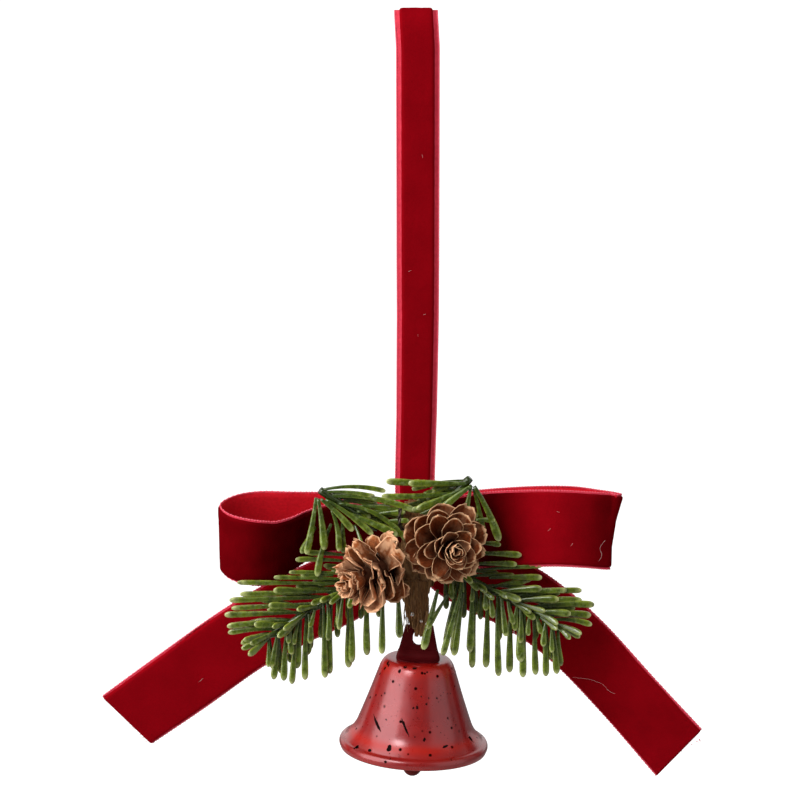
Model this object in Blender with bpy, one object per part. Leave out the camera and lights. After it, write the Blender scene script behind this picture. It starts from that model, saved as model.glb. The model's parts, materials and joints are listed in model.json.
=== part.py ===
"""Christmas bell ornament: a small painted bell under a velvet bow, on a ribbon hanger.

Units are millimetres until the last step of each shape, which scales to metres. +Z is up, -Y is
the front, and the origin is the hang point: the inner face of the hanger's crest, on the centre line.
Every sub-part is one named object. A moving piece hangs from an empty that stands on its joint's axis.
"""

import math

import bmesh
import bpy
from mathutils import Matrix, Vector

MM = 0.001
FIT_GAP = 0.3

# Hanger: one 10 mm velvet ribbon folded in two, its ends glued behind the bow. Strand points are (y, z).
HANGER_WIDTH = 10.0
VELVET = 1.0
STRAND_GAP = 0.16
CREST_FLAT = 1.0
CREST_RADIUS = 2.0
CREST_FOOT_Z = -6.0
FRONT_STRAND = [(1.2, -70.0), (-2.9, -22.0)]
BACK_STRAND = [(3.9, -22.0), (5.0, -70.0)]
HANGER_BACK = 6.6
JOIN_Z = -108.0
SWAY_Z = -118.0
TAB_GAP = 1.8
TAB_BOTTOM = -136.5

# Bow: 19 mm velvet ribbon. A loop's row is x, y, z, forward lean, turn in its own plane, half width.
BOW_HALF_WIDTH = 9.65
LEFT_LOOP = [
    (-1.2, 0.7, -129.4, 3, 0, 6.3), (-8, 1.0, -129.2, 7, 0, 8.2), (-16, 1.9, -128.8, 12, 0, 9.4),
    (-23, 2.5, -128.4, 16, 0, BOW_HALF_WIDTH), (-31, 3.1, -128.1, 20, 0, BOW_HALF_WIDTH),
    (-39, 3.3, -128.0, 20, 0, BOW_HALF_WIDTH), (-45, 1.7, -128.6, 20, 0, BOW_HALF_WIDTH),
    (-48.7, -2.3, -130.0, 20, 0, BOW_HALF_WIDTH), (-46.5, -6.4, -131.5, 20, 0, BOW_HALF_WIDTH),
    (-41, -8.6, -132.5, 20, 0, BOW_HALF_WIDTH), (-36, -8.0, -132.7, 20, 0, 9.1),
    (-31, -5.1, -131.1, 20, 0, 7.8), (-27, -2.2, -129.5, 19, 0, 7.1),
    (-22, -0.1, -128.3, 16, 0, 6.7), (-16, 0.2, -128.2, 12, 0, 6.6),
    (-8, -0.45, -128.8, 7, 0, 6.5), (-1.2, -0.75, -129.5, 3, 0, 6.3),
]
RIGHT_LOOP = [
    (1.2, -0.75, -129.4, 0, 0, 6.3), (8, -1.6, -128.9, -5, 0, 8.2), (17, -3.6, -128.0, -12, 0, 9.5),
    (26, -5.2, -127.2, -14, 1, 9.4), (35, -5.9, -126.9, -14, 4, 9.3),
    (43, -4.6, -127.6, -14, 8, 9.3), (49.2, -1.7, -128.6, -14, 11, 9.4),
    (45.5, 0.5, -128.1, -14, 9, 9.3), (38, 1.2, -127.4, -14, 5, 9.3),
    (26, 1.0, -127.6, -12, 1, 9.3), (12, 0.8, -128.6, -6, 0, 9.0),
    (1.2, 0.7, -129.4, 0, 0, 6.3),
]
# A tail's row is x, y, z, backward tilt of its lower edge, half width. Its first row is its joint.
LEFT_TAIL = [
    (-4.2, 2.8, -136.0, 0, 5.8), (-10, 4.6, -140.0, 0, 7.8), (-19.5, 7.6, -145.9, 4, 9.3),
    (-32, 8.6, -152.2, 9, BOW_HALF_WIDTH), (-45, 8.4, -159.8, 13, BOW_HALF_WIDTH),
    (-60, 8.0, -170.6, 13, BOW_HALF_WIDTH), (-74.7, 7.6, -181.1, 17, BOW_HALF_WIDTH),
]
RIGHT_TAIL = [
    (4.2, 2.4, -135.6, 0, 5.8), (9, 3.0, -138.7, 0, 7.6), (15, 3.6, -141.6, 5, 8.8),
    (28, 4.6, -148.4, 16, 9.5), (41, 5.4, -158.9, 25, BOW_HALF_WIDTH),
    (55, 5.8, -174.1, 28, BOW_HALF_WIDTH), (68.4, 6.0, -189.4, 24, BOW_HALF_WIDTH),
]

# Binding wire round the middle of the bow, an upright ring: (y, z) values.
BINDING_CENTRE = (-1.3, -130.2)
BINDING_HALF = (5.9, 8.7)
BINDING_WIRE = 0.4
BINDING_POINTS = 28

# Moulded sprigs on wire cores: corners of the stem, and the side that the needles lean to.
STEM_RADIUS = 1.25
BORE_RADIUS = 0.75
CORE_WIRE = 0.42
STEM_SIDES = 8
NEEDLE_WIDTH = 1.5
LOWER_SPANS = 16
LOWER_SPRIGS = {
    "lower_left": ([(-6, -6.6, -136.5), (-18.9, -8.2, -143), (-31, -9.6, -150), (-41, -10.6, -155.4)], -1),
    "lower_right": ([(6, -6.6, -136), (14.8, -8.2, -140.4), (26, -9.6, -146.4), (35.4, -10.6, -151.6)], 1),
}
LOWER_WIRE_END = (1.4, -5.0, -133.2)
LOWER_STEM_RUN = 40.0
UPPER_SPANS = 10
UPPER_SPRIGS = {
    "upper_left": ([(-9.5, -6.4, -126.8), (-17, -7.2, -122.0), (-24.0, -7.6, -116.6)], 1),
    "upper_right": ([(5.0, -6.4, -122.6), (9.5, -7.2, -118.4), (13.3, -7.6, -113.8)], -1),
}
UPPER_WIRE_END = (1.4, -3.4, -127.2)

# Hanging needles are short over the bell, and full length from this far out.
BELL_SIDE_X = 20.0
FRONT_NEEDLES_X = 14.0
OUTER_NEEDLES_X = 24.0

# Cones: base, axis, length and radius. Scales stand in rings, open at the base and closed at the tip.
CONE_LEFT = ((-4.6, -16.6, -132.2), (-0.75, -0.62, -0.2), 15.0, 9.6)
CONE_RIGHT = ((5.6, -11.9, -127.6), (0.23, -0.97, 0.03), 14.0, 10.0)
CONE_RINGS = 9
CONE_SIDES = 8
CONE_CORE = 0.42
SCALE_OPEN = 74
SCALE_CLOSING = 62

# Glue pads behind the cones: centre and half sizes.
GLUE_LEFT = ((-8.6, -10.3, -134.6), (3.6, 0.7, 2.8))
GLUE_RIGHT = ((5.4, -10.2, -127.4), (3.4, 0.7, 3.4))
GLUE_RINGS = 5
GLUE_SIDES = 12

# Bell, in its own frame: origin on the lug's pivot, axis down -Z.
BELL_PIVOT = (0.9, -9.2, -152.9)
BELL_LEAN = 2.7
BELL_AXIS_Y = 1.8
CROWN_Z = -7.0
BELL_WALL = 0.8
BELL_SEGMENTS = 44
RIVET_HOLE = 1.0
RIVET_CLEARANCE = 0.35
CUTTER_SIDES = 24
# Outer radius and height from the crown's top: crown, shoulder, flank, flare and lip.
BELL_PROFILE = [
    (3.5, 0.0), (6.8, 0.0), (8.5, -0.7), (9.25, -1.95), (10.2, -4.6), (11.3, -7.9), (12.7, -11.9),
    (14.05, -15.6), (14.75, -17.4), (15.5, -18.7), (16.4, -19.8), (17.3, -20.6), (18.15, -21.35),
    (18.6, -22.3), (18.6, -23.6),
]

# Lug: a sheet tab with an upright slot, bent back into a foot that the rivet holds.
LUG_SHEET = 0.7
LUG_BASE = CROWN_Z + FIT_GAP
LUG_BEND = 1.35
LUG_TOP = 1.9
LUG_BASE_HALF = 5.4
LUG_TOP_HALF = 3.5
LUG_FOOT_DEPTH = 5.4
SLOT_HALF_WIDTH = 1.5
SLOT_TOP = 0.6
SLOT_BOTTOM = -3.2
SLOT_POINTS = 24

# Rivet: head over the foot, washer under the crown, and a stub that carries the wire eye.
HEAD_HEIGHT = 0.7
HEAD_RADIUS = 1.25
WASHER_RADIUS = 1.6
WASHER_THICK = 0.45
STUB_RADIUS = 0.5
STUB_LENGTH = 1.2

# Clapper chain, below the crown.
LINK_PIVOT = CROWN_Z - 3.3
CLAPPER_PIVOT = CROWN_Z - 6.4
LINK_WIRE = 0.26
LINK_HALF_WIDTH = 1.5
LINK_END_DEPTH = 0.7
EYE_RING_RADIUS = 1.15
EYE_WIRE = 0.28
EYE_SHIFT = 0.25
EYE_POINTS = 16
BALL_CENTRE = CROWN_Z - 28.7
BALL_RADIUS = 2.4
BALL_RINGS = 12
ROD_RADIUS = 0.45

# Fibre tie between the binding and the lug: a flat band, folded through the slot.
TIE_PIVOT = (-0.4, -9.2, -139.9)
TIE_THICK = 1.0
TIE_TOP_DROP = 0.8
TIE_FOOT_DROP = 0.7


def clear_scene():
    for obj in list(bpy.data.objects):
        bpy.data.objects.remove(obj, do_unlink=True)


def material(name, colour, roughness, metallic=0.0):
    """One Principled material of a plain colour."""
    made = bpy.data.materials.new(name)
    made.use_nodes = True
    shader = made.node_tree.nodes["Principled BSDF"]
    shader.inputs["Base Color"].default_value = (*colour, 1.0)
    shader.inputs["Roughness"].default_value = roughness
    shader.inputs["Metallic"].default_value = metallic
    made.diffuse_color = (*colour, 1.0)
    return made


def pivot(name, place, parent=None, turn=None):
    """An empty that stands on a joint's axis. `place` is in world millimetres."""
    empty = bpy.data.objects.new(name, None)
    empty.empty_display_size = 0.004
    bpy.context.scene.collection.objects.link(empty)
    world = Matrix.Translation(Vector(place) * MM)
    if turn:
        world = world @ turn
    if parent:
        empty.parent = parent
        empty.matrix_parent_inverse = Matrix.Identity(4)
        world = world_matrix(parent).inverted() @ world
    empty.matrix_basis = world
    return empty


def local_pivot(name, place, parent):
    """An empty in its parent's own frame."""
    empty = bpy.data.objects.new(name, None)
    empty.empty_display_size = 0.002
    bpy.context.scene.collection.objects.link(empty)
    empty.parent = parent
    empty.matrix_basis = Matrix.Translation(Vector(place) * MM)
    return empty


def world_matrix(obj):
    """The object's world matrix, worked out from its parents."""
    matrix = obj.matrix_basis.copy()
    while obj.parent:
        obj = obj.parent
        matrix = obj.matrix_basis @ matrix
    return matrix


def add(name, bm, look, parent, local=False, smooth=True):
    """Makes the object of a bmesh. World millimetres, or the parent's own frame where local is true."""
    bmesh.ops.recalc_face_normals(bm, faces=bm.faces)
    bmesh.ops.triangulate(bm, faces=bm.faces)
    bmesh.ops.scale(bm, vec=(MM, MM, MM), verts=bm.verts)
    if not local:
        bm.transform(world_matrix(parent).inverted())
    mesh = bpy.data.meshes.new(name)
    bm.to_mesh(mesh)
    bm.free()
    mesh.materials.append(look)
    if smooth:
        mesh.shade_smooth()
        mesh.set_sharp_from_angle(angle=math.radians(40))
    obj = bpy.data.objects.new(name, mesh)
    obj.parent = parent
    bpy.context.scene.collection.objects.link(obj)
    return obj


def through(rows, steps):
    """Rows of numbers on a Catmull-Rom curve through the given rows, `steps` spans for each pair."""
    rows = [Vector(row) for row in rows]
    ends = [2 * rows[0] - rows[1]] + rows + [2 * rows[-1] - rows[-2]]
    made = []
    for i in range(len(rows) - 1):
        p0, p1, p2, p3 = ends[i : i + 4]
        for k in range(steps):
            t = k / steps
            made.append(
                0.5 * (2 * p1 + (p2 - p0) * t + (2 * p0 - 5 * p1 + 4 * p2 - p3) * t**2
                       + (3 * p1 - p0 - 3 * p2 + p3) * t**3)
            )
    made.append(rows[-1])
    return made


def resampled(corners, spans):
    """Evenly spaced points on a smooth curve through the corners."""
    fine = [Vector(p) for p in through(corners, 40)]
    lengths = [0.0]
    for a, b in zip(fine, fine[1:]):
        lengths.append(lengths[-1] + (b - a).length)
    made = []
    i = 0
    for k in range(spans + 1):
        target = lengths[-1] * k / spans
        while i < len(fine) - 2 and lengths[i + 1] < target:
            i += 1
        share = (target - lengths[i]) / (lengths[i + 1] - lengths[i])
        made.append(fine[i].lerp(fine[i + 1], min(max(share, 0), 1)))
    return made


def tangents(points, closed=False):
    """Unit directions along a list of points."""
    count = len(points)
    made = []
    for i in range(count):
        before = points[i - 1] if closed else points[max(i - 1, 0)]
        after = points[(i + 1) % count] if closed else points[min(i + 1, count - 1)]
        made.append((after - before).normalized())
    return made


def rings_to_bmesh(rings, closed=False):
    """Joins rings of points, each with the same count, into one skin: a closed round, or capped ends."""
    bm = bmesh.new()
    made = [[bm.verts.new(point) for point in ring] for ring in rings]
    sides = len(rings[0])
    spans = len(made) if closed else len(made) - 1
    for i in range(spans):
        a, b = made[i], made[(i + 1) % len(made)]
        for k in range(sides):
            bm.faces.new((a[k], a[(k + 1) % sides], b[(k + 1) % sides], b[k]))
    if not closed:
        bm.faces.new(made[0][::-1])
        bm.faces.new(made[-1])
    return bm


def band(centres, widths):
    """A ribbon as a closed band. `widths` are half-width vectors, one for each centre."""
    rings = []
    for centre, width, along in zip(centres, widths, tangents(centres)):
        out = width.cross(along).normalized() * VELVET / 2
        upper, lower = centre + width, centre - width
        rings.append([upper + out, upper - out, lower - out, lower + out])
    return rings_to_bmesh(rings)


def wire(points, radius, sides=8, closed=False):
    """A round wire along the points."""
    points = [Vector(point) for point in points]
    rings = []
    side = None
    for point, along in zip(points, tangents(points, closed)):
        if side is None:
            side = along.orthogonal().normalized()
        side = (side - along * side.dot(along)).normalized()
        other = along.cross(side)
        ring = []
        for k in range(sides):
            angle = 2 * math.pi * k / sides
            ring.append(point + radius * (math.cos(angle) * side + math.sin(angle) * other))
        rings.append(ring)
    return rings_to_bmesh(rings, closed=closed)


def planar_prism(cells, low, high, axis):
    """Thickens a flat patch of 2D cells (lists of point pairs that share their points) along an axis."""
    bm = bmesh.new()
    seen = {}

    def vertex(point):
        key = (round(point[0], 4), round(point[1], 4))
        if key not in seen:
            place = (low, *point) if axis == "X" else (point[0], low, point[1])
            seen[key] = bm.verts.new(place)
        return seen[key]

    for cell in cells:
        bm.faces.new([vertex(point) for point in cell])
    made = bmesh.ops.extrude_face_region(bm, geom=list(bm.faces))
    verts = [item for item in made["geom"] if isinstance(item, bmesh.types.BMVert)]
    shift = (high - low, 0, 0) if axis == "X" else (0, high - low, 0)
    bmesh.ops.translate(bm, vec=shift, verts=verts)
    return bm


def hanger_path():
    """Centre line of the hanger's side view, as (y, z), from the front strand's foot over the crest."""
    rise = CREST_RADIUS + VELVET / 2
    join = VELVET / 2 + STRAND_GAP
    front = [(HANGER_BACK - join, JOIN_Z), *FRONT_STRAND, (-CREST_FLAT - rise, CREST_FOOT_Z)]
    path = [Vector((*p, 0)) for p in through(front, 5)]
    for middle, start in ((-CREST_FLAT, math.pi), (CREST_FLAT, math.pi / 2)):
        for k in range(6):
            angle = start - k * math.pi / 10
            y, z = middle + rise * math.cos(angle), rise * math.sin(angle) - CREST_RADIUS
            path.append(Vector((y, z, 0)))
    back = [(CREST_FLAT + rise, CREST_FOOT_Z), *BACK_STRAND, (HANGER_BACK + join, JOIN_Z)]
    path += [Vector((*p, 0)) for p in through(back, 5)]
    return path


def hanging_loop(look, parent):
    """The hanger above the bow: two strands that meet in a rounded foot on the sway axis."""
    path = hanger_path()
    inner = []
    outer = []
    for point, along in zip(path, tangents(path)):
        across = Vector((along.y, -along.x, 0)) * VELVET / 2
        outer.append(point - across)
        inner.append(point + across)
    half = VELVET + STRAND_GAP
    outer[0] = Vector((HANGER_BACK - half, path[0].y, 0))
    outer[-1] = Vector((HANGER_BACK + half, path[-1].y, 0))
    inner[0] = Vector((HANGER_BACK - STRAND_GAP, path[0].y, 0))
    inner[-1] = Vector((HANGER_BACK + STRAND_GAP, path[-1].y, 0))
    cells = []
    for i in range(len(path) - 1):
        cells.append([outer[i], outer[i + 1], inner[i + 1], inner[i]])
    foot = []
    for k in range(13):
        angle = math.pi + k * math.pi / 12
        foot.append(Vector((HANGER_BACK + half * math.cos(angle), SWAY_Z + half * math.sin(angle), 0)))
    top = [outer[0], inner[0], inner[-1], outer[-1]]
    cells.append(top + foot[::-1])
    flat = [[(p.x, p.y) for p in cell] for cell in cells]
    bm = planar_prism(flat, -HANGER_WIDTH / 2, HANGER_WIDTH / 2, "X")
    return add("hanging_loop", bm, look, parent)


def strap_ends(look, parent):
    """The hanger's two glued ends, flat behind the bow."""
    half = VELVET + STRAND_GAP
    top = SWAY_Z - TAB_GAP
    cell = [(HANGER_BACK - half, TAB_BOTTOM), (HANGER_BACK + half, TAB_BOTTOM),
            (HANGER_BACK + half, top), (HANGER_BACK - half, top)]
    bm = planar_prism([cell], -HANGER_WIDTH / 2, HANGER_WIDTH / 2, "X")
    return add("hanging_loop_ends", bm, look, parent, smooth=False)


def lean(degrees, turn):
    """Unit width direction of a ribbon that leans forward by an angle, turned in its own plane."""
    tilt = math.radians(degrees)
    spin = math.radians(turn)
    return Vector((math.sin(spin) * math.cos(tilt), -math.sin(tilt), math.cos(spin) * math.cos(tilt)))


def bow_loop(name, rows, look, parent):
    """A bow loop. Each row is x, y, z, forward lean, in-plane turn and half width."""
    sampled = through(rows, 3)
    centres = [Vector(row[:3]) for row in sampled]
    widths = [lean(row[3], row[4]) * row[5] for row in sampled]
    return add(name, band(centres, widths), look, parent)


def bow_tail(name, rows, look, parent):
    """A bow tail. Each row is x, y, z, backward tilt of the lower edge and half width."""
    sampled = through(rows, 4)
    centres = [Vector(row[:3]) for row in sampled]
    widths = []
    for row, along in zip(sampled, tangents(centres)):
        tilt = math.radians(row[3])
        flat = Vector((0, -1, 0)).cross(along).normalized()
        flat = flat if flat.z > 0 else -flat
        widths.append((math.cos(tilt) * flat + math.sin(tilt) * Vector((0, -1, 0))) * row[4])
    return add(name, band(centres, widths), look, parent)


def binding(look, parent):
    """The wire ring that pinches the bow and holds the sprigs."""
    points = []
    for k in range(BINDING_POINTS):
        angle = 2 * math.pi * k / BINDING_POINTS
        y = BINDING_CENTRE[0] + BINDING_HALF[0] * math.cos(angle)
        z = BINDING_CENTRE[1] + BINDING_HALF[1] * math.sin(angle)
        points.append((0, y, z))
    return add("binding_wire", wire(points, BINDING_WIRE, closed=True), look, parent)


def grow(bm, face, stations):
    """Grows a limb out of a four-sided face. A station is a centre and two half-size vectors."""
    middle = face.calc_center_median()
    base = [loop.vert for loop in face.loops]
    first_width, first_thick = stations[0][1], stations[0][2]
    signs = []
    for vert in base:
        away = vert.co - middle
        signs.append((1 if away.dot(first_width) > 0 else -1, 1 if away.dot(first_thick) > 0 else -1))
    if len(set(signs)) != 4:
        return
    bm.faces.remove(face)
    previous = base
    for centre, width, thick in stations:
        current = [bm.verts.new(centre + a * width + b * thick) for a, b in signs]
        for k in range(4):
            bm.faces.new((previous[k], previous[(k + 1) % 4], current[(k + 1) % 4], current[k]))
        previous = current
    bm.faces.new(previous)


def stem(path):
    """A bored stem along a path: open where the core wire comes out, closed at the far end."""
    rings = []
    tangent = tangents(path)
    side = Vector((0, -1, 0))
    frames = []
    for along in tangent:
        side = (side - along * side.dot(along)).normalized()
        frames.append((side, along.cross(side)))
    for radius, order in ((BORE_RADIUS, range(len(path) - 2, -1, -1)), (STEM_RADIUS, range(len(path)))):
        for i in order:
            ring = []
            for k in range(STEM_SIDES):
                angle = 2 * math.pi * (k + 0.5) / STEM_SIDES
                side, other = frames[i]
                ring.append(path[i] + radius * (math.cos(angle) * side + math.sin(angle) * other))
            rings.append(ring)
    return rings_to_bmesh(rings), frames


def needle_stations(root, heading, across, length, width):
    """A flat needle: narrow at its root, widest near the end, with a short tip."""
    across = (across - heading * across.dot(heading)).normalized()
    thick = across.cross(heading)
    return [
        (root + heading * 0.14 * length, across * width * 0.36, thick * width * 0.3),
        (root + heading * 0.78 * length, across * width * 0.5, thick * width * 0.32),
        (root + heading * length, across * width * 0.26, thick * width * 0.2),
    ]


def sprig(name, path, needles, look, parent):
    """A moulded sprig. `needles` gives a heading and a length, or None, for a span and a direction out."""
    bm, frames = stem(path)
    bm.faces.ensure_lookup_table()
    outer_start = (len(path) - 1) * STEM_SIDES
    jobs = []
    for span in range(len(path) - 1):
        along = (path[span + 1] - path[span]).normalized()
        for side in range(STEM_SIDES):
            face = bm.faces[outer_start + span * STEM_SIDES + side]
            out = (face.calc_center_median() - (path[span] + path[span + 1]) / 2).normalized()
            plan = needles(span, out)
            if plan:
                jobs.append((face, along, *plan))
    for face, along, heading, length in jobs:
        root = face.calc_center_median()
        grow(bm, face, needle_stations(root, heading.normalized(), along, length, NEEDLE_WIDTH))
    return add(name, bm, look, parent)


def core_wire(name, path, run_out, look, parent):
    """A sprig's core wire, from its bore out to the binding."""
    return add(name, wire([run_out] + path[:-3], CORE_WIRE, sides=6), look, parent)


def lower_needles(outward, start_x):
    """Needles of a lower sprig: some sweep outward along it, the rest hang straight down."""

    def plan(span, out):
        fraction = span / LOWER_SPANS
        x = abs(start_x + outward * fraction * LOWER_STEM_RUN)
        even = span % 2 == 0
        front = out.y < -0.3
        if span < 1 or span > LOWER_SPANS - 2:
            return None
        if out.z < -0.85 and even:
            reach = 15.5 if x > BELL_SIDE_X else 10.5
            return Vector((0.08 * outward, -0.05, -1)), reach - 7 * fraction**3
        if out.z < -0.2 and front and not even and x > FRONT_NEEDLES_X:
            return Vector((0.12 * outward, -0.25, -1)), 12.5 - 6 * fraction**3
        if out.z > 0.75 and not even and x > OUTER_NEEDLES_X:
            return Vector((outward, -0.05, 0.26 - 0.3 * fraction)), 13 - 5 * fraction**2
        if out.z > 0.2 and front and even and x > BELL_SIDE_X:
            return Vector((outward, -0.22, 0.1 - 0.3 * fraction)), 12 - 5 * fraction**2
        return None

    return plan


def upper_needles(inward):
    """Needles of a folded upper sprig: they sweep from its cut end in towards the knot and down."""

    def plan(span, out):
        if span < 2 or span > UPPER_SPANS - 2:
            return None
        if out.z > 0.3 and abs(out.y) < 0.5 and span % 2 == 0:
            return Vector((inward, 0.04, -0.16 - 0.05 * (UPPER_SPANS - span))), 11.0
        if out.z < -0.6 and abs(out.y) < 0.6 and span % 2 == 1:
            return Vector((-0.25 * inward, -0.02, -1)), 12.0
        return None

    return plan


def cone(name, base, axis, length, radius, look, parent):
    """A small woody cone: a core with open scales in rings, each ring turned half a step."""
    base = Vector(base)
    axis = Vector(axis).normalized()
    first = axis.orthogonal().normalized()
    second = axis.cross(first)
    rings = []
    for j in range(CONE_RINGS):
        t = j / (CONE_RINGS - 1)
        core = radius * CONE_CORE * math.sin(math.pi * (0.18 + 0.76 * t)) ** 0.8
        ring = []
        for k in range(CONE_SIDES):
            angle = 2 * math.pi * (k + 0.5 * (j % 2)) / CONE_SIDES
            ring.append(base + axis * length * 0.86 * t
                        + core * (math.cos(angle) * first + math.sin(angle) * second))
        rings.append(ring)
    bm = rings_to_bmesh(rings)
    bm.faces.ensure_lookup_table()
    jobs = []
    for j in range(CONE_RINGS - 1):
        for k in range(CONE_SIDES):
            if (k + j) % 2 == 0:
                jobs.append((bm.faces[j * CONE_SIDES + k], (j + 0.5) / (CONE_RINGS - 1)))
    for face, t in jobs:
        middle = face.calc_center_median()
        core_point = base + axis * (middle - base).dot(axis)
        out = (middle - core_point).normalized()
        across = axis.cross(out)
        opening = math.radians(SCALE_OPEN - SCALE_CLOSING * t)
        heading = math.sin(opening) * out + math.cos(opening) * axis
        reach = (radius - (middle - core_point).length) * (1 - 0.45 * t) / max(math.sin(opening), 0.45)
        wide = radius * (0.36 - 0.2 * t)
        thick = heading.cross(across)
        grow(bm, face, [
            (middle + heading * 0.5 * reach, across * wide, thick * 0.5),
            (middle + heading * 0.85 * reach + axis * 0.4, across * wide * 0.95, thick * 0.42),
            (middle + heading * reach + axis * 0.8, across * wide * 0.5, thick * 0.3),
        ])
    return add(name, bm, look, parent)


def blob(name, centre, half, look, parent):
    """A flattened blob of set glue."""
    rings = []
    for j in range(1, GLUE_RINGS + 1):
        latitude = math.pi * (j / (GLUE_RINGS + 1) - 0.5)
        ring = []
        for k in range(GLUE_SIDES):
            angle = 2 * math.pi * k / GLUE_SIDES
            wave = 1 + 0.12 * math.sin(3 * angle + 1.0)
            ring.append((centre[0] + half[0] * wave * math.cos(latitude) * math.cos(angle),
                         centre[1] + half[1] * math.sin(latitude),
                         centre[2] + half[2] * wave * math.cos(latitude) * math.sin(angle)))
        rings.append(ring)
    return add(name, rings_to_bmesh(rings), look, parent)


def tie(look, parent):
    """The fibre tie: a flat loop whose lower bend passes through the lug's slot."""
    top = TIE_PIVOT[2] - TIE_TOP_DROP
    bottom = BELL_PIVOT[2] - TIE_FOOT_DROP
    rows = [
        # y, z, half width
        (0.0, top, 3.2), (-1.2, top - 2.0, 3.6), (-1.6, top - 6.0, 3.8), (-1.6, bottom + 3.4, 3.6),
        (-1.4, bottom + 1.2, 1.6), (-0.9, bottom, 1.0), (0.9, bottom, 1.0), (1.4, bottom + 1.2, 1.6),
        (1.6, bottom + 3.4, 3.6), (1.6, top - 6.0, 3.8), (1.2, top - 2.0, 3.6),
    ]
    rings = []
    points = [Vector((0, y, z)) for y, z, half in rows]
    centre = Vector((0, 0, (top + bottom) / 2))
    for (y, z, half), point, along in zip(rows, points, tangents(points, closed=True)):
        out = Vector((1, 0, 0)).cross(along).normalized()
        out = out if out.dot(point - centre) > 0 else -out
        x = BELL_PIVOT[0] + (TIE_PIVOT[0] - BELL_PIVOT[0]) * (z - bottom) / (top - bottom)
        place = Vector((x, BELL_PIVOT[1], 0)) + point
        rings.append([place + Vector((a * half, 0, 0)) + b * TIE_THICK / 2 * out
                      for a, b in ((-1, -1), (1, -1), (1, 1), (-1, 1))])
    return add("bell_tie", rings_to_bmesh(rings, closed=True), look, parent)


def bell_shell(look, parent):
    """The shell: a turned profile with a rivet hole in the crown."""
    outer = [Vector((RIVET_HOLE + RIVET_CLEARANCE, 0, 0))] + [Vector((*p, 0)) for p in BELL_PROFILE]
    inner = []
    for point, along in zip(outer, tangents(outer)):
        inward = Vector((along.y, -along.x, 0))
        inner.append(point + inward * BELL_WALL)
    inner[0].x = outer[0].x
    loop = outer + inner[::-1]
    rings = []
    for k in range(BELL_SEGMENTS):
        angle = 2 * math.pi * k / BELL_SEGMENTS
        across, away = math.cos(angle), math.sin(angle)
        rings.append([(p.x * across, BELL_AXIS_Y + p.x * away, CROWN_Z + p.y) for p in loop])
    return add("bell_shell", rings_to_bmesh(rings, closed=True), look, parent, local=True)


def lug_half_width(z):
    """Half width of the lug at a height."""
    foot = LUG_BASE + LUG_SHEET
    t = (z - foot) / (LUG_TOP - foot)
    return LUG_BASE_HALF + (LUG_TOP_HALF - LUG_BASE_HALF) * t**0.8


def lug_cells(low):
    """The tab above height `low` as flat cells round its slot, each (x, z) corner on slot or outline."""
    ends = (SLOT_TOP - SLOT_HALF_WIDTH, SLOT_BOTTOM + SLOT_HALF_WIDTH)
    centre = (ends[0] + ends[1]) / 2
    slot = []
    for k in range(SLOT_POINTS):
        angle = 2 * math.pi * (k + 0.5) / SLOT_POINTS
        middle = ends[0] if math.sin(angle) > 0 else ends[1]
        slot.append((SLOT_HALF_WIDTH * math.cos(angle), middle + SLOT_HALF_WIDTH * math.sin(angle)))
    frame = []
    for x, z in slot:
        for step in range(1, 400):
            grown = 1 + step * 0.02
            trial = (x * grown, centre + (z - centre) * grown)
            if not low < trial[1] < LUG_TOP or abs(trial[0]) >= lug_half_width(trial[1]):
                frame.append((trial[0], min(max(trial[1], low), LUG_TOP)))
                break
    top_half, low_half = lug_half_width(LUG_TOP), lug_half_width(low)
    for corner in ((top_half, LUG_TOP), (-top_half, LUG_TOP), (-low_half, low), (low_half, low)):
        away = [(x - corner[0]) ** 2 + (z - corner[1]) ** 2 for x, z in frame]
        frame[away.index(min(away))] = corner
    cells = []
    for k in range(SLOT_POINTS):
        after = (k + 1) % SLOT_POINTS
        cells.append([slot[k], slot[after], frame[after], frame[k]])
    return cells


def lug_foot(bm, low):
    """Grows the bend and the foot from the tab's lower edge, as one strip."""
    rim = sorted((v for v in bm.verts if abs(v.co.z - low) < 1e-4), key=lambda v: (v.co.y, v.co.x))
    front = [v for v in rim if v.co.y < 0]
    back = [v for v in rim if v.co.y > 0]
    count = len(front)
    for k in range(count - 1):
        shared = [f for f in front[k].link_faces if front[k + 1] in f.verts and back[k] in f.verts]
        for face in shared:
            bm.faces.remove(face)
    path = []
    for k in range(1, 7):
        angle = k * math.pi / 12
        path.append((LUG_BEND * (1 - math.cos(angle)), low - LUG_BEND * math.sin(angle), angle))
    path.append((LUG_FOOT_DEPTH, low - LUG_BEND, math.pi / 2))
    previous = (front, back)
    for y, z, angle in path:
        out = Vector((0, -math.cos(angle), -math.sin(angle))) * LUG_SHEET / 2
        new_front = [bm.verts.new((v.co.x, y + out.y, z + out.z)) for v in front]
        new_back = [bm.verts.new((v.co.x, y - out.y, z - out.z)) for v in back]
        for k in range(count - 1):
            bm.faces.new((previous[0][k], previous[0][k + 1], new_front[k + 1], new_front[k]))
            bm.faces.new((previous[1][k + 1], previous[1][k], new_back[k], new_back[k + 1]))
        bm.faces.new((previous[0][0], new_front[0], new_back[0], previous[1][0]))
        bm.faces.new((previous[0][-1], previous[1][-1], new_back[-1], new_front[-1]))
        previous = (new_front, new_back)
    for k in range(count - 1):
        bm.faces.new((previous[0][k], previous[0][k + 1], previous[1][k + 1], previous[1][k]))


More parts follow.
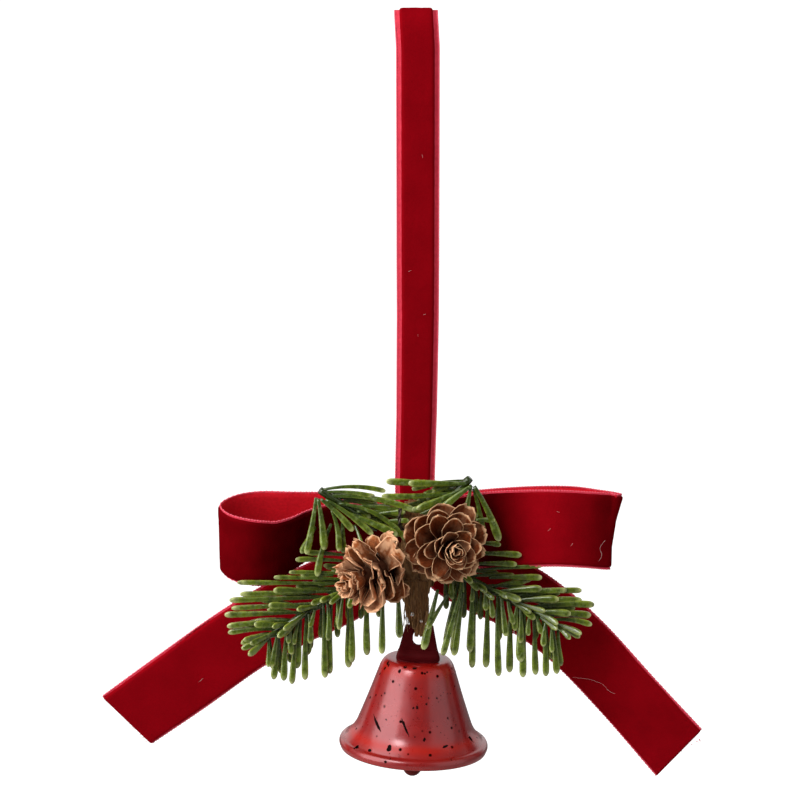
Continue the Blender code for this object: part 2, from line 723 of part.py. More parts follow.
def bell_lug(look, parent):
    """The lug: a slotted sheet tab, bent back into a foot on the crown, with a hole for the rivet."""
    low = LUG_BASE + LUG_SHEET / 2 + LUG_BEND
    bm = planar_prism(lug_cells(low), -LUG_SHEET / 2, LUG_SHEET / 2, "Y")
    lug_foot(bm, low)
    lug = add("bell_lug", bm, look, parent, local=True)
    hole = cutter("lug_rivet_hole", RIVET_HOLE + RIVET_CLEARANCE, (0, BELL_AXIS_Y, LUG_BASE), 3.8, parent)
    cut = lug.modifiers.new("rivet hole", "BOOLEAN")
    cut.operation = "DIFFERENCE"
    cut.object = hole
    return lug


def cutter(name, radius, centre, height, parent):
    """A hidden round cutter, upright in its parent's frame."""
    rings = []
    for z in (-height / 2, height / 2):
        ring = []
        for k in range(CUTTER_SIDES):
            angle = 2 * math.pi * k / CUTTER_SIDES
            x, y = radius * math.cos(angle), radius * math.sin(angle)
            ring.append((centre[0] + x, centre[1] + y, centre[2] + z))
        rings.append(ring)
    bm = rings_to_bmesh(rings)
    tool = add(name, bm, bpy.data.materials[0], parent, local=True, smooth=False)
    tool.hide_render = True
    tool.display_type = "WIRE"
    return tool


def eye_ring(centre_y, centre_z):
    """Points of a small ring in the side plane."""
    points = []
    for k in range(EYE_POINTS):
        angle = 2 * math.pi * k / EYE_POINTS
        y = centre_y + EYE_RING_RADIUS * math.cos(angle)
        points.append((0, y, centre_z + EYE_RING_RADIUS * math.sin(angle)))
    return points


def turned(profile, centre_y=BELL_AXIS_Y, segments=24):
    """A solid of revolution from (radius, z) points that start and end on the axis."""
    bm = bmesh.new()
    rings = []
    for radius, z in profile:
        if radius == 0:
            rings.append([bm.verts.new((0, centre_y, z))])
            continue
        ring = []
        for k in range(segments):
            angle = 2 * math.pi * k / segments
            ring.append(bm.verts.new((radius * math.cos(angle), centre_y + radius * math.sin(angle), z)))
        rings.append(ring)
    for a, b in zip(rings, rings[1:]):
        for k in range(segments):
            nxt = (k + 1) % segments
            if len(a) == 1:
                bm.faces.new((a[0], b[k], b[nxt]))
            elif len(b) == 1:
                bm.faces.new((a[k], b[0], a[nxt]))
            else:
                bm.faces.new((a[k], b[k], b[nxt], a[nxt]))
    return bm


def joined(base, other):
    """Unites a helper solid with a base object, and hides the helper."""
    other.hide_render = True
    other.display_type = "WIRE"
    union = base.modifiers.new(other.name, "BOOLEAN")
    union.operation = "UNION"
    union.object = other
    return base


def crown_rivet(look, parent):
    """The rivet through foot and crown, with a wire eye under it."""
    top = LUG_BASE + LUG_SHEET + FIT_GAP
    under = CROWN_Z - BELL_WALL - FIT_GAP
    stub_top = under - WASHER_THICK - 0.15
    profile = [(0, top + HEAD_HEIGHT), (0.7, top + 0.6), (1.2, top + 0.25), (HEAD_RADIUS, top),
               (RIVET_HOLE, top), (RIVET_HOLE, under), (WASHER_RADIUS, under),
               (WASHER_RADIUS, under - WASHER_THICK), (STUB_RADIUS, stub_top),
               (STUB_RADIUS, under - STUB_LENGTH), (0, under - STUB_LENGTH)]
    rivet = add("crown_rivet", turned(profile), look, parent, local=True)
    points = eye_ring(BELL_AXIS_Y, LINK_PIVOT + EYE_SHIFT)
    eye = add("rivet_eye_tool", wire(points, EYE_WIRE, closed=True), look, parent, local=True)
    return joined(rivet, eye)


def clapper_link(look, parent):
    """The small wire link between the rivet's eye and the clapper's, from its own pivot down."""
    points = []
    for end, z in ((1, -LINK_END_DEPTH), (-1, CLAPPER_PIVOT - LINK_PIVOT + LINK_END_DEPTH)):
        for k in range(9):
            angle = math.pi * k / 8
            across = end * LINK_HALF_WIDTH * math.cos(angle)
            points.append((across, 0.0, z + end * LINK_END_DEPTH * math.sin(angle)))
    return add("clapper_link", wire(points, LINK_WIRE, sides=6, closed=True), look, parent, local=True)


def clapper_rod(look, parent):
    """Rod with an eye at its top, down to the ball."""
    top = -EYE_SHIFT - EYE_RING_RADIUS + EYE_WIRE / 2
    foot = BALL_CENTRE - CLAPPER_PIVOT + BALL_RADIUS + FIT_GAP
    profile = [(0, top), (ROD_RADIUS, top), (ROD_RADIUS, foot), (0, foot)]
    rod = add("clapper_rod", turned(profile, centre_y=0.0, segments=12), look, parent, local=True)
    points = eye_ring(0.0, -EYE_SHIFT)
    eye = add("clapper_eye_tool", wire(points, EYE_WIRE, closed=True), look, parent, local=True)
    return joined(rod, eye)


def clapper_ball(look, parent):
    """The clapper's ball, just below the rod's foot."""
    centre = BALL_CENTRE - CLAPPER_PIVOT
    profile = [(0, centre + BALL_RADIUS)]
    for k in range(1, BALL_RINGS):
        angle = math.pi / 2 - k * math.pi / BALL_RINGS
        profile.append((BALL_RADIUS * math.cos(angle), centre + BALL_RADIUS * math.sin(angle)))
    profile.append((0, centre - BALL_RADIUS))
    return add("clapper_ball", turned(profile, centre_y=0.0, segments=20), look, parent, local=True)


def main():
    clear_scene()
    strap_velvet = material("hanger_velvet", (0.28, 0.0, 0.02), 0.8)
    bow_velvet = material("bow_velvet", (0.25, 0.0, 0.015), 0.8)
    needle_green = material("sprig_green", (0.07, 0.14, 0.03), 0.4)
    wire_green = material("stem_wire_green", (0.03, 0.07, 0.02), 0.5, 0.3)
    binding_steel = material("binding_wire_dark", (0.06, 0.04, 0.03), 0.5, 0.6)
    cone_brown = material("cone_brown", (0.27, 0.1, 0.04), 0.75)
    glue = material("hot_glue", (0.8, 0.75, 0.65), 0.25)
    fibre = material("tie_fibre", (0.2, 0.12, 0.06), 0.9)
    bell_red = material("bell_red", (0.4, 0.02, 0.015), 0.35)
    lug_red = material("lug_maroon", (0.06, 0.0, 0.005), 0.4)
    clapper_metal = material("clapper_metal", (0.15, 0.03, 0.03), 0.4, 0.5)

    root = pivot("hanger_root", (0, 0, 0))
    bow = pivot("bow_pivot", (0, HANGER_BACK, SWAY_Z), root)
    hanging_loop(strap_velvet, root)
    strap_ends(strap_velvet, bow)

    bow_loop("bow_loop_left", LEFT_LOOP, bow_velvet, bow)
    bow_loop("bow_loop_right", RIGHT_LOOP, bow_velvet, bow)
    bow_tail("bow_tail_left", LEFT_TAIL, bow_velvet, pivot("tail_left_pivot", LEFT_TAIL[0][:3], bow))
    bow_tail("bow_tail_right", RIGHT_TAIL, bow_velvet, pivot("tail_right_pivot", RIGHT_TAIL[0][:3], bow))
    binding(binding_steel, bow)

    for side, (corners, outward) in LOWER_SPRIGS.items():
        path = resampled(corners, LOWER_SPANS)
        sprig("sprig_" + side, path, lower_needles(outward, corners[0][0]), needle_green, bow)
        x, y, z = LOWER_WIRE_END
        core_wire("stem_wire_" + side, path, (outward * x, y, z), wire_green, bow)
    for side, (corners, inward) in UPPER_SPRIGS.items():
        path = resampled(corners, UPPER_SPANS)
        sprig("sprig_" + side, path, upper_needles(inward), needle_green, bow)
        x, y, z = UPPER_WIRE_END
        core_wire("stem_wire_" + side, path, (-inward * x, y, z), wire_green, bow)
    cone("cone_left", *CONE_LEFT, cone_brown, bow)
    cone("cone_right", *CONE_RIGHT, cone_brown, bow)
    blob("glue_pad_left", *GLUE_LEFT, glue, bow)
    blob("glue_pad_right", *GLUE_RIGHT, glue, bow)

    tie_pivot = pivot("tie_pivot", TIE_PIVOT, bow)
    tie(fibre, tie_pivot)
    turn = Matrix.Rotation(math.radians(BELL_LEAN), 4, "Y")
    bell = pivot("bell_pivot", BELL_PIVOT, tie_pivot, turn)
    bell_shell(bell_red, bell)
    bell_lug(lug_red, bell)
    crown_rivet(lug_red, bell)
    link = local_pivot("clapper_link_pivot", (0, BELL_AXIS_Y, LINK_PIVOT), bell)
    clapper = local_pivot("clapper_pivot", (0, 0, CLAPPER_PIVOT - LINK_PIVOT), link)
    clapper_link(clapper_metal, link)
    clapper_rod(clapper_metal, clapper)
    clapper_ball(clapper_metal, clapper)


main()
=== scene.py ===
"""Looks of the christmas bell ornament: velvet ribbons, moulded fir sprigs, cones, painted bell.

Shapes are worked out in millimetres in the frame's own axes (+Z up, -Y to the front, the hang
point at the origin) and scaled to metres when a mesh is made.
"""

import json
import math
import random

import bpy
import numpy as np
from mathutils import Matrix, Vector, noise


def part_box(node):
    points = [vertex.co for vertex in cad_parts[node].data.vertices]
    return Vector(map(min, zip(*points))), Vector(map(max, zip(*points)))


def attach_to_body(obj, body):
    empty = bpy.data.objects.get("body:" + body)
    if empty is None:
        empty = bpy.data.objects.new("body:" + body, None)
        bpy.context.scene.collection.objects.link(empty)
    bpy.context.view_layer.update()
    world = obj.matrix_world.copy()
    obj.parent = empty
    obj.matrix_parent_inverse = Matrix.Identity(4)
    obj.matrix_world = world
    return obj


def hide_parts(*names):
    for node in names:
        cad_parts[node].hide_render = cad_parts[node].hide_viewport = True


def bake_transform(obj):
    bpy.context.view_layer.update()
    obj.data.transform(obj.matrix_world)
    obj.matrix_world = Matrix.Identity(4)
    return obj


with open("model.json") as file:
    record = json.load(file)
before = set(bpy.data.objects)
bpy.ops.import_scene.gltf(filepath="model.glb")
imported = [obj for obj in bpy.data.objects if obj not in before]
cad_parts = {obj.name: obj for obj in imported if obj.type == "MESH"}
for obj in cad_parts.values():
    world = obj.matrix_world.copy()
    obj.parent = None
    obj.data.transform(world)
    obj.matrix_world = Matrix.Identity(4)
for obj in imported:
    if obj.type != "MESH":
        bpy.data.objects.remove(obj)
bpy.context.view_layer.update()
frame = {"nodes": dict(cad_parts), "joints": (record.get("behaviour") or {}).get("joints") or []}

MM = 0.001
RIGHT = np.array([1.0, 0.0, 0.0])
TO_FRONT = np.array([0.0, -1.0, 0.0])
NODES = frame["nodes"]
JOINTS = {joint["name"]: joint for joint in frame["joints"]}


def place_of(joint):
    """A joint's point, in millimetres."""
    return np.array(JOINTS[joint]["pos_m"]) * 1000


def box_of(node):
    """The low and high corners of a CAD node, in millimetres."""
    return [np.array(corner) * 1000 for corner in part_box(node)]


def wear(piece, body, slot, *nodes):
    """Puts a finished piece on its body, in place of the CAD nodes given. `slot` is not used."""
    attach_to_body(piece, body)
    if nodes:
        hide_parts(*nodes)


# ---------------------------------------------------------------- meshes


class Skin:
    """Collects the points and faces of one piece, with numbers stored for each point."""

    def __init__(self, *layers):
        self.points = []
        self.faces = []
        self.slots = []
        self.layers = {name: [] for name in layers}

    def add(self, points, faces, slots, **layers):
        start = len(self.points)
        self.points.extend([tuple(p) for p in points])
        self.faces.extend([tuple(start + i for i in face) for face in faces])
        self.slots.extend(slots)
        for name, values in self.layers.items():
            given = layers.get(name, 0.0)
            values.extend([given] * len(points) if np.isscalar(given) else list(given))

    def grid(self, rows, slots=0, around=False, along=False, caps=False, **layers):
        """A sheet of rows of points. `around` closes each row, `along` joins the last row to the first."""
        rows = np.asarray(rows, float)
        count, sides = rows.shape[:2]
        faces = []
        for i in range(count if along else count - 1):
            j = (i + 1) % count
            for k in range(sides if around else sides - 1):
                m = (k + 1) % sides
                faces.append((i * sides + k, i * sides + m, j * sides + m, j * sides + k))
        row_slots = [slots] if isinstance(slots, int) else list(slots)
        used = row_slots * (len(faces) // len(row_slots))
        if caps:
            faces.append(tuple(range(sides))[::-1])
            faces.append(tuple((count - 1) * sides + k for k in range(sides)))
            used += [used[0], used[-1]]
        flat = {name: value if np.isscalar(value) else np.asarray(value).reshape(-1)
                for name, value in layers.items()}
        self.add(rows.reshape(-1, 3), faces, used, **flat)

    def build(self, name, materials, flip=False):
        mesh = bpy.data.meshes.new(name)
        faces = [face[::-1] for face in self.faces] if flip else self.faces
        mesh.from_pydata((np.array(self.points) * MM).tolist(), [], faces)
        for material in materials:
            mesh.materials.append(material)
        mesh.polygons.foreach_set("material_index", self.slots)
        mesh.polygons.foreach_set("use_smooth", [True] * len(self.faces))
        for label, values in self.layers.items():
            stored = mesh.attributes.new(label, "FLOAT", "POINT")
            stored.data.foreach_set("value", np.array(values, np.float32))
        mesh.validate()
        mesh.update()
        obj = bpy.data.objects.new(name, mesh)
        bpy.context.scene.collection.objects.link(obj)
        return obj


def unit(vectors):
    vectors = np.asarray(vectors, float)
    return vectors / np.maximum(np.linalg.norm(vectors, axis=-1, keepdims=True), 1e-9)


def directions(points):
    """Unit directions along a list of points."""
    return unit(np.gradient(np.asarray(points, float), axis=0))


def curve_through(rows, spacing):
    """Rows on a Catmull-Rom curve through the given rows, evenly spaced along the first three columns."""
    rows = np.asarray(rows, float)
    ends = np.vstack([2 * rows[0] - rows[1], rows, 2 * rows[-1] - rows[-2]])
    fine = []
    for i in range(len(rows) - 1):
        p0, p1, p2, p3 = ends[i : i + 4]
        t = np.linspace(0, 1, 24, endpoint=False)[:, None]
        fine.append(0.5 * (2 * p1 + (p2 - p0) * t + (2 * p0 - 5 * p1 + 4 * p2 - p3) * t**2
                           + (3 * p1 - p0 - 3 * p2 + p3) * t**3))
    return evenly(np.vstack(fine + [rows[-1:]]), spacing)


def distances(points):
    """How far along a polyline each of its points is."""
    return np.concatenate([[0], np.cumsum(np.linalg.norm(np.diff(points, axis=0), axis=1))])


def evenly(rows, spacing):
    """The same polyline with evenly spaced rows."""
    length = distances(rows[:, :3])
    count = max(int(round(length[-1] / spacing)), 2)
    targets = np.linspace(0, length[-1], count + 1)
    return np.stack([np.interp(targets, length, rows[:, c]) for c in range(rows.shape[1])], axis=1)


def bumpiness(points, scale, seed):
    """Smooth noise from -1 to 1 at points in millimetres."""
    shift = Vector((seed * 7.3, seed * 3.1, seed * 5.7))
    return np.array([noise.noise(Vector(p) * scale + shift) for p in points])


def tube(skin, points, radii, sides, slot=0, **layers):
    """A round tube with closed ends along the points."""
    points = np.asarray(points, float)
    radii = np.broadcast_to(radii, len(points))
    along = directions(points)
    side = np.array([0.31, 0.52, 0.79])      # any direction that no tube here runs along
    rows = []
    for point, radius, heading in zip(points, radii, along):
        side = unit(side - heading * side.dot(heading))
        other = np.cross(heading, side)
        angle = np.linspace(0, 2 * math.pi, sides, endpoint=False)[:, None]
        rows.append(point + radius * (np.cos(angle) * side + np.sin(angle) * other))
    spread = {name: value if np.isscalar(value) else np.repeat(value, sides)
              for name, value in layers.items()}
    skin.grid(rows, slot, around=True, caps=True, **spread)


def sheet_row(middle, across, out, spans, crumple, thick):
    """The points round one cross-section of a thin crumpled sheet: its face, then its back."""
    centres = middle + np.outer(spans, across)
    face = centres + np.outer(crumple + thick / 2, out)
    back = centres + np.outer(crumple - thick / 2, out)
    return np.vstack([face, back[::-1]])


def there_and_back(values):
    """Values for a cross-section's face, and the same ones for its back."""
    return np.concatenate([values, values[::-1]])


# ---------------------------------------------------------------- materials


class Look:
    """A node material under construction. Colours are given as three numbers."""

    def __init__(self, name, **values):
        self.material = bpy.data.materials.new(name)
        self.material.use_nodes = True
        self.tree = self.material.node_tree
        self.shader = self.tree.nodes["Principled BSDF"]
        self.set(self.shader, values)

    def feed(self, socket, value):
        """Links a socket to another one, or gives it a value."""
        if isinstance(value, bpy.types.NodeSocket):
            self.tree.links.new(value, socket)
        else:
            socket.default_value = (*value, 1.0) if socket.type == "RGBA" else value

    def set(self, node, values):
        for key, value in values.items():
            self.feed(node.inputs[key], value)

    def node(self, kind, values=None, **settings):
        node = self.tree.nodes.new(kind)
        for key, value in settings.items():
            setattr(node, key, value)
        self.set(node, values or {})
        return node

    def layer(self, name):
        return self.node("ShaderNodeAttribute", attribute_name=name).outputs["Fac"]

    def place(self):
        return self.node("ShaderNodeTexCoord").outputs["Object"]

    def noise(self, scale, detail, rough=0.55, vector=None):
        values = {"Scale": scale, "Detail": detail, "Roughness": rough, "Vector": vector or self.place()}
        return self.node("ShaderNodeTexNoise", values).outputs["Fac"]

    def ramp(self, factor, low, high):
        """`factor` stretched so that low becomes 0 and high becomes 1."""
        values = {"Value": factor, "From Min": low, "From Max": high}
        return self.node("ShaderNodeMapRange", values).outputs["Result"]

    def patches(self, scale, detail, low, high):
        """Noise stretched in the same way."""
        return self.ramp(self.noise(scale, detail), low, high)

    def mix(self, factor, a, b):
        node = self.node("ShaderNodeMix", data_type="RGBA")
        for index, value in ((0, factor), (6, a), (7, b)):      # the colour sockets of this node
            self.feed(node.inputs[index], value)
        return node.outputs[2]

    def maths(self, operation, a, b):
        node = self.node("ShaderNodeMath", operation=operation)
        self.feed(node.inputs[0], a)
        self.feed(node.inputs[1], b)
        return node.outputs[0]

    def times(self, a, b):
        return self.maths("MULTIPLY", a, b)

    def bump(self, height, strength, distance):
        """The finished material, with this relief."""
        values = {"Height": height, "Strength": strength, "Distance": distance}
        self.set(self.shader, {"Normal": self.node("ShaderNodeBump", values).outputs["Normal"]})
        return self.material


def tinted(colour, factor, lift=0.0):
    """A brighter or darker version of a colour."""
    return tuple(min(c * factor + lift, 1.0) for c in colour)


def velvet(name, dark, light):
    """Cut pile with fine uneven tufts. Its colour runs from dark to light by the painted light and shade
    stored on the ribbon, with a little random drift.
    """
    look = Look(name, Roughness=0.9)
    drift = look.maths("SUBTRACT", look.times(look.patches(110.0, 3.0, 0.3, 0.7), 0.16), 0.08)
    # The "nap" layer is painted light and shade on the pile; the drift is random tone.
    painted_light_and_drift = look.maths("ADD", look.layer("nap"), drift)
    colour = look.mix(look.ramp(painted_light_and_drift, 0.0, 1.0), dark, light)
    tufts = look.patches(2600.0, 3.0, 0.3, 0.7)
    colour = look.mix(look.times(tufts, 0.22), colour, dark)
    look.set(look.shader, {"Base Color": colour, "Specular IOR Level": 0.0, "Sheen Weight": 0.07,
                           "Sheen Roughness": 0.3, "Sheen Tint": (1.0, 0.004, 0.02)})
    return look.bump(look.noise(3600.0, 3.0), 0.3, 0.00012)


def woven(name, colour, light, pitch):
    """Plain weave: crossed ribs at thread size, from the ribbon's own lengths stored on it.

    The "bead" layer is above 0 on the beads of a selvedge's thread, which get a painted highlight, and below
    0 in the gaps between them, which get painted shade.
    """
    look = Look(name, Roughness=0.6)
    along, across = (look.maths("SINE", look.times(look.layer(way), 2 * math.pi / pitch), 0.0)
                     for way in ("length", "across"))
    weave = look.times(along, across)
    mixed = look.mix(look.times(look.ramp(weave, -1.0, 1.0), 0.7), colour, light)
    mixed = look.mix(look.times(look.patches(1500.0, 2.0, 0.3, 0.7), 0.35), mixed, tinted(colour, 0.55))
    bead = look.layer("bead")
    # Painted highlight on the beads of the thread, and painted shade in the gaps between them.
    mixed = look.mix(look.maths("MAXIMUM", bead, 0.0), mixed, (0.96, 0.17, 0.24))
    painted_gap_shade = look.maths("MAXIMUM", look.times(bead, -1.0), 0.0)
    mixed = look.mix(painted_gap_shade, mixed, (0.22, 0.002, 0.008))
    look.set(look.shader, {"Base Color": mixed, "Specular IOR Level": 0.06})
    return look.bump(weave, 0.5, 0.00008)


def needle_plastic():
    """Moulded needles: dark green at the root, yellow-green towards the tip, with painted shade in the
    groove, painted light along the rim and painted highlights.
    """
    look = Look("needle_plastic")
    tip, rim, shade = (look.layer(name) for name in ("tip", "rim", "shade"))
    # The "shade" layer is painted light and shade for each needle: near black for needles behind or under
    # others, brightest for the lit ones.
    colour = look.mix(shade, (0.006, 0.016, 0.001), (0.050, 0.098, 0.004))
    colour = look.mix(look.times(look.maths("POWER", tip, 1.3), 0.8), colour, (0.200, 0.270, 0.014))
    # Painted shade along the middle of each face, where the groove is.
    colour = look.mix(look.times(look.ramp(rim, 0.62, 0.1), 0.7), colour, (0.020, 0.036, 0.002))
    # Painted light along the rims, stronger towards the tip.
    edge = look.times(look.maths("POWER", rim, 5.0), look.ramp(tip, -0.1, 0.9))
    colour = look.mix(look.times(edge, 0.6), colour, (0.62, 0.66, 0.12))
    # The very end is paler: partly its own colour, partly a painted highlight.
    colour = look.mix(look.times(look.ramp(tip, 0.90, 1.0), 0.6), colour, (0.74, 0.76, 0.34))
    streak = look.patches(620.0, 3.0, 0.44, 0.66)
    colour = look.mix(look.times(streak, 0.62), colour, (0.010, 0.018, 0.001))
    # Painted glints: pale patches on needles with a bright painted light level.
    painted_glint = look.times(look.patches(780.0, 3.0, 0.56, 0.74), look.ramp(shade, 0.2, 1.0))
    colour = look.mix(look.times(painted_glint, 0.40), colour, (0.46, 0.56, 0.24))
    look.set(look.shader, {"Base Color": colour, "Roughness": look.patches(900.0, 2.0, 0.25, 1.2),
                           "Specular IOR Level": 0.45, "Specular Tint": (0.92, 1.0, 0.8),
                           "Coat Weight": 0.5, "Coat Roughness": 0.06})
    return look.bump(look.noise(760.0, 3.0), 0.7, 0.00018)


def cone_wood(name, dark, mid, pale, worn):
    """Dry scales: brown with grain along them, a thin pale rim, pale worn faces, and painted shade towards
    the root of each scale.
    """
    look = Look(name, Roughness=0.75)
    shade = look.layer("shade")
    place = look.node("ShaderNodeCombineXYZ", {"X": look.times(look.layer("side"), 9.0),
                                               "Y": look.times(look.layer("reach"), 1.6),
                                               "Z": look.times(shade, 60.0)}).outputs["Vector"]
    grain = look.noise(1.0, 4.0, 0.75, place)
    colour = look.mix(look.ramp(grain, 0.32, 0.68), tinted(mid, 0.5), tinted(mid, 1.45))
    wear_here = look.maths("ADD", look.noise(420.0, 3.0), look.times(shade, 0.28))
    colour = look.mix(look.times(look.ramp(wear_here, 0.58, 0.80), worn), colour, pale)
    # The "depth" layer is painted shade, deep between the scales and on the core.
    colour = look.mix(look.layer("depth"), colour, dark)
    ragged = look.maths("ADD", look.layer("rim"), look.times(look.noise(900.0, 2.0), 0.16))
    colour = look.mix(look.times(look.ramp(ragged, 0.93, 1.05), 0.9), colour, pale)
    look.set(look.shader, {"Base Color": colour, "Specular IOR Level": 0.12})
    return look.bump(grain, 0.6, 0.0002)


def bell_paint():
    """Satin red paint over metal, with fine specks, cloudy patches and orange where it is thick."""
    look = Look("bell_paint")
    colour = look.mix(look.patches(150.0, 4.0, 0.32, 0.72), (0.235, 0.0035, 0.003), (0.33, 0.007, 0.004))
    warm = look.layer("warm")
    colour = look.mix(look.times(warm, 0.85), colour, (0.46, 0.010, 0.002))
    cells = look.node("ShaderNodeTexVoronoi", {"Scale": 540.0, "Vector": look.place(), "Randomness": 1.0})
    near = look.ramp(cells.outputs["Distance"], 0.26, 0.16)
    draw = look.node("ShaderNodeSeparateColor", {"Color": cells.outputs["Color"]}).outputs["Red"]
    speck = look.times(near, look.ramp(draw, 0.82, 0.86))
    colour = look.mix(speck, colour, (0.004, 0.001, 0.001))
    clean = look.maths("SUBTRACT", look.maths("SUBTRACT", 1.0, look.times(warm, 0.45)), speck)
    look.set(look.shader, {"Base Color": colour, "Roughness": look.patches(260.0, 4.0, -0.35, 2.4),
                           "Specular IOR Level": clean, "Specular Tint": (1.0, 0.56, 0.60),
                           "Coat Weight": look.times(clean, 0.62), "Coat Roughness": 0.20})
    return look.bump(look.noise(420.0, 3.0), 0.12, 0.0002)


def metal_paint(name, colour, roughness, gloss=0.06, coat=0.02):
    """Thin uneven paint on the small metal pieces."""
    look = Look(name, Roughness=roughness)
    mixed = look.mix(look.patches(300.0, 4.0, 0.3, 0.75), colour, tinted(colour, 1.7, 0.004))
    look.set(look.shader, {"Base Color": mixed, "Specular IOR Level": gloss,
                           "Specular Tint": (1.0, 0.5, 0.5), "Coat Weight": coat, "Coat Roughness": 0.25})
    return look.bump(look.noise(900.0, 3.0), 0.2, 0.0001)


def bare_wire(name, colour, roughness):
    """Dull wire with darker spots, rougher where it is dark."""
    look = Look(name, Metallic=0.85)
    spots = look.patches(1200.0, 3.0, 0.3, 0.7)
    look.set(look.shader, {"Base Color": look.mix(spots, colour, tinted(colour, 0.5)),
                           "Roughness": look.ramp(spots, -roughness * 2, 2.5)})
    return look.bump(look.noise(1500.0, 2.0), 0.2, 0.00005)


def fibre_tape():
    """Brown paper tape: long dull fibres with a few glossy glue spots."""
    look = Look("fibre_tape")
    stretched = look.node("ShaderNodeMapping", {"Vector": look.place(), "Scale": (2600.0, 2600.0, 320.0)})
    fibres = look.noise(1.0, 4.0, 0.7, stretched.outputs["Vector"])
    colour = look.mix(look.ramp(fibres, 0.3, 0.7), (0.070, 0.024, 0.006), (0.33, 0.150, 0.048))
    # The "shade" layer is painted light: raised parts of the crumpled tape lighter, its hollows darker.
    painted_ridge_light = look.maths("POWER", look.layer("shade"), 2.0)
    colour = look.mix(look.times(painted_ridge_light, 0.6), colour, (0.62, 0.38, 0.18))
    wet = look.patches(620.0, 2.0, 0.62, 0.72)
    look.set(look.shader, {"Base Color": colour, "Roughness": look.ramp(wet, 1.15, -0.25),
                           "Specular IOR Level": 0.3})
    return look.bump(fibres, 0.7, 0.0003)


def clear_glue():
    look = Look("clear_glue", Roughness=0.12)
    cloudy = look.mix(look.patches(500.0, 3.0, 0.3, 0.7), (0.86, 0.80, 0.70), (0.95, 0.93, 0.88))
    look.set(look.shader, {"Base Color": cloudy, "Transmission Weight": 0.72, "IOR": 1.49})
    return look.bump(look.noise(700.0, 2.0), 0.3, 0.0003)


def thread(name, colour):
    """A single lint or loose thread."""
    look = Look(name, Roughness=0.6)
    tone = look.mix(look.patches(2000.0, 2.0, 0.3, 0.7), colour, tinted(colour, 1.5))
    look.set(look.shader, {"Base Color": tone, "Sheen Weight": 0.3})
    return look.material


# ---------------------------------------------------------------- ribbons

PAINTED_LIGHT_BLEND = 4.5          # mm along a ribbon over which the painted light on its pile is smoothed
# the least painted light on any pile
PAINTED_LIGHT_LEAST = 0.03
PILE_HEIGHT = 0.55
PILE_INSET = 0.40        # mm from a ribbon's edge to its pile
HANGER_PILE_INSET = 1.05
SELVEDGE_THICK = 0.34
PICOT_PITCH = 0.72
PICOT_STEPS = 7          # points for each loop of the selvedge's thread
PICOT_REACH = 0.24
PICOT_THREAD = 0.19
CUT_REACH = 14.0         # mm of a ribbon's end that a slanted cut draws out
ROW_GAP = 0.55           # mm between cross-sections
FRAY_THREADS = 26
HANGER_GAP = 0.5         # mm between each glued end and the hinge line
HANGER_CREST = 0.5
HANGER_DRIFT = ((0, 8, 75, 100, 116), (0.0, 0.45, 0.55, 0.3, -0.1))   # mm down, mm to the right

# The bow's loops as rows of x, y, z, forward lean and turn in degrees, half width.
LEFT_LOOP = [
    (-0.3, 0.9, -129.6, 2, 0, 5.0), (-4, 0.8, -129.4, 5, 0, 6.9), (-8, 1.0, -129.2, 7, 0, 8.2),
    (-16, 1.9, -128.8, 12, 0, 9.4), (-23, 2.5, -128.4, 16, 0, 9.65), (-31, 3.1, -128.1, 20, 0, 9.65),
    (-39, 3.3, -128.0, 20, 0, 9.65), (-45, 1.7, -128.6, 20, 0, 9.65), (-48.7, -2.3, -130.0, 20, 0, 9.65),
    (-46.5, -6.4, -131.5, 20, 0, 9.65), (-41, -8.6, -132.5, 20, 0, 9.65),
    (-36, -8.0, -132.7, 20, 0, 9.1), (-31, -5.1, -131.1, 20, 0, 7.8), (-27, -2.2, -129.5, 19, 0, 7.1),
    (-22, -0.1, -128.3, 16, 0, 6.7), (-16, 0.2, -128.2, 12, 0, 6.6), (-8, -0.45, -128.8, 7, 0, 6.5),
    (-4, -0.7, -129.3, 5, 0, 6.0), (-0.3, -0.8, -129.6, 2, 0, 5.0),
]
RIGHT_LOOP = [
    (0.3, -0.8, -129.6, 0, 0, 5.0), (4, -0.9, -129.3, -3, 0, 6.9), (8, -1.6, -128.9, -5, 0, 8.2),
    (17, -3.6, -128.0, -12, 0, 9.3), (26, -5.2, -127.2, -14, 1, 9.4), (35, -5.9, -126.9, -14, 4, 9.3),
    (43, -4.6, -127.6, -14, 8, 9.3), (48.4, -2.4, -128.5, -14, 11, 9.4),
    (49.4, -1.5, -128.6, -14, 11, 9.4), (48.4, -0.5, -128.5, -14, 10.5, 9.4),
    (45.0, 0.5, -128.1, -14, 9, 9.3), (38, 1.2, -127.4, -14, 5, 9.3), (26, 1.0, -127.6, -12, 1, 9.3),
    (12, 0.8, -128.6, -6, 0, 9.0), (4, 0.8, -129.3, -2, 0, 6.9), (0.3, 0.8, -129.6, 0, 0, 5.0),
]
# The tails as rows of x, y, z, forward lean of the lower edge in degrees, half width.
LEFT_TAIL = [
    (-1.5, 2.3, -133.6, 0, 4.6), (-4.2, 2.8, -136.0, 0, 5.8), (-10, 4.6, -140.0, 0, 7.8),
    (-19.5, 7.5, -145.9, 4, 9.3), (-32, 8.4, -152.2, 9, 9.65), (-45, 8.4, -159.8, 13, 9.65),
    (-60, 8.0, -170.6, 13, 9.65), (-74.7, 7.6, -181.1, 17, 9.65),
]
RIGHT_TAIL = [
    (1.5, 2.2, -133.4, 0, 4.6), (4.2, 2.4, -135.6, 0, 5.8), (9, 3.0, -138.7, 0, 7.6),
    (15, 3.6, -141.6, 5, 8.8), (28, 4.6, -148.4, 16, 9.5), (41, 5.4, -158.9, 25, 9.65),
    (55, 5.8, -174.1, 28, 9.65), (68.4, 6.0, -189.4, 24, 9.65),
]


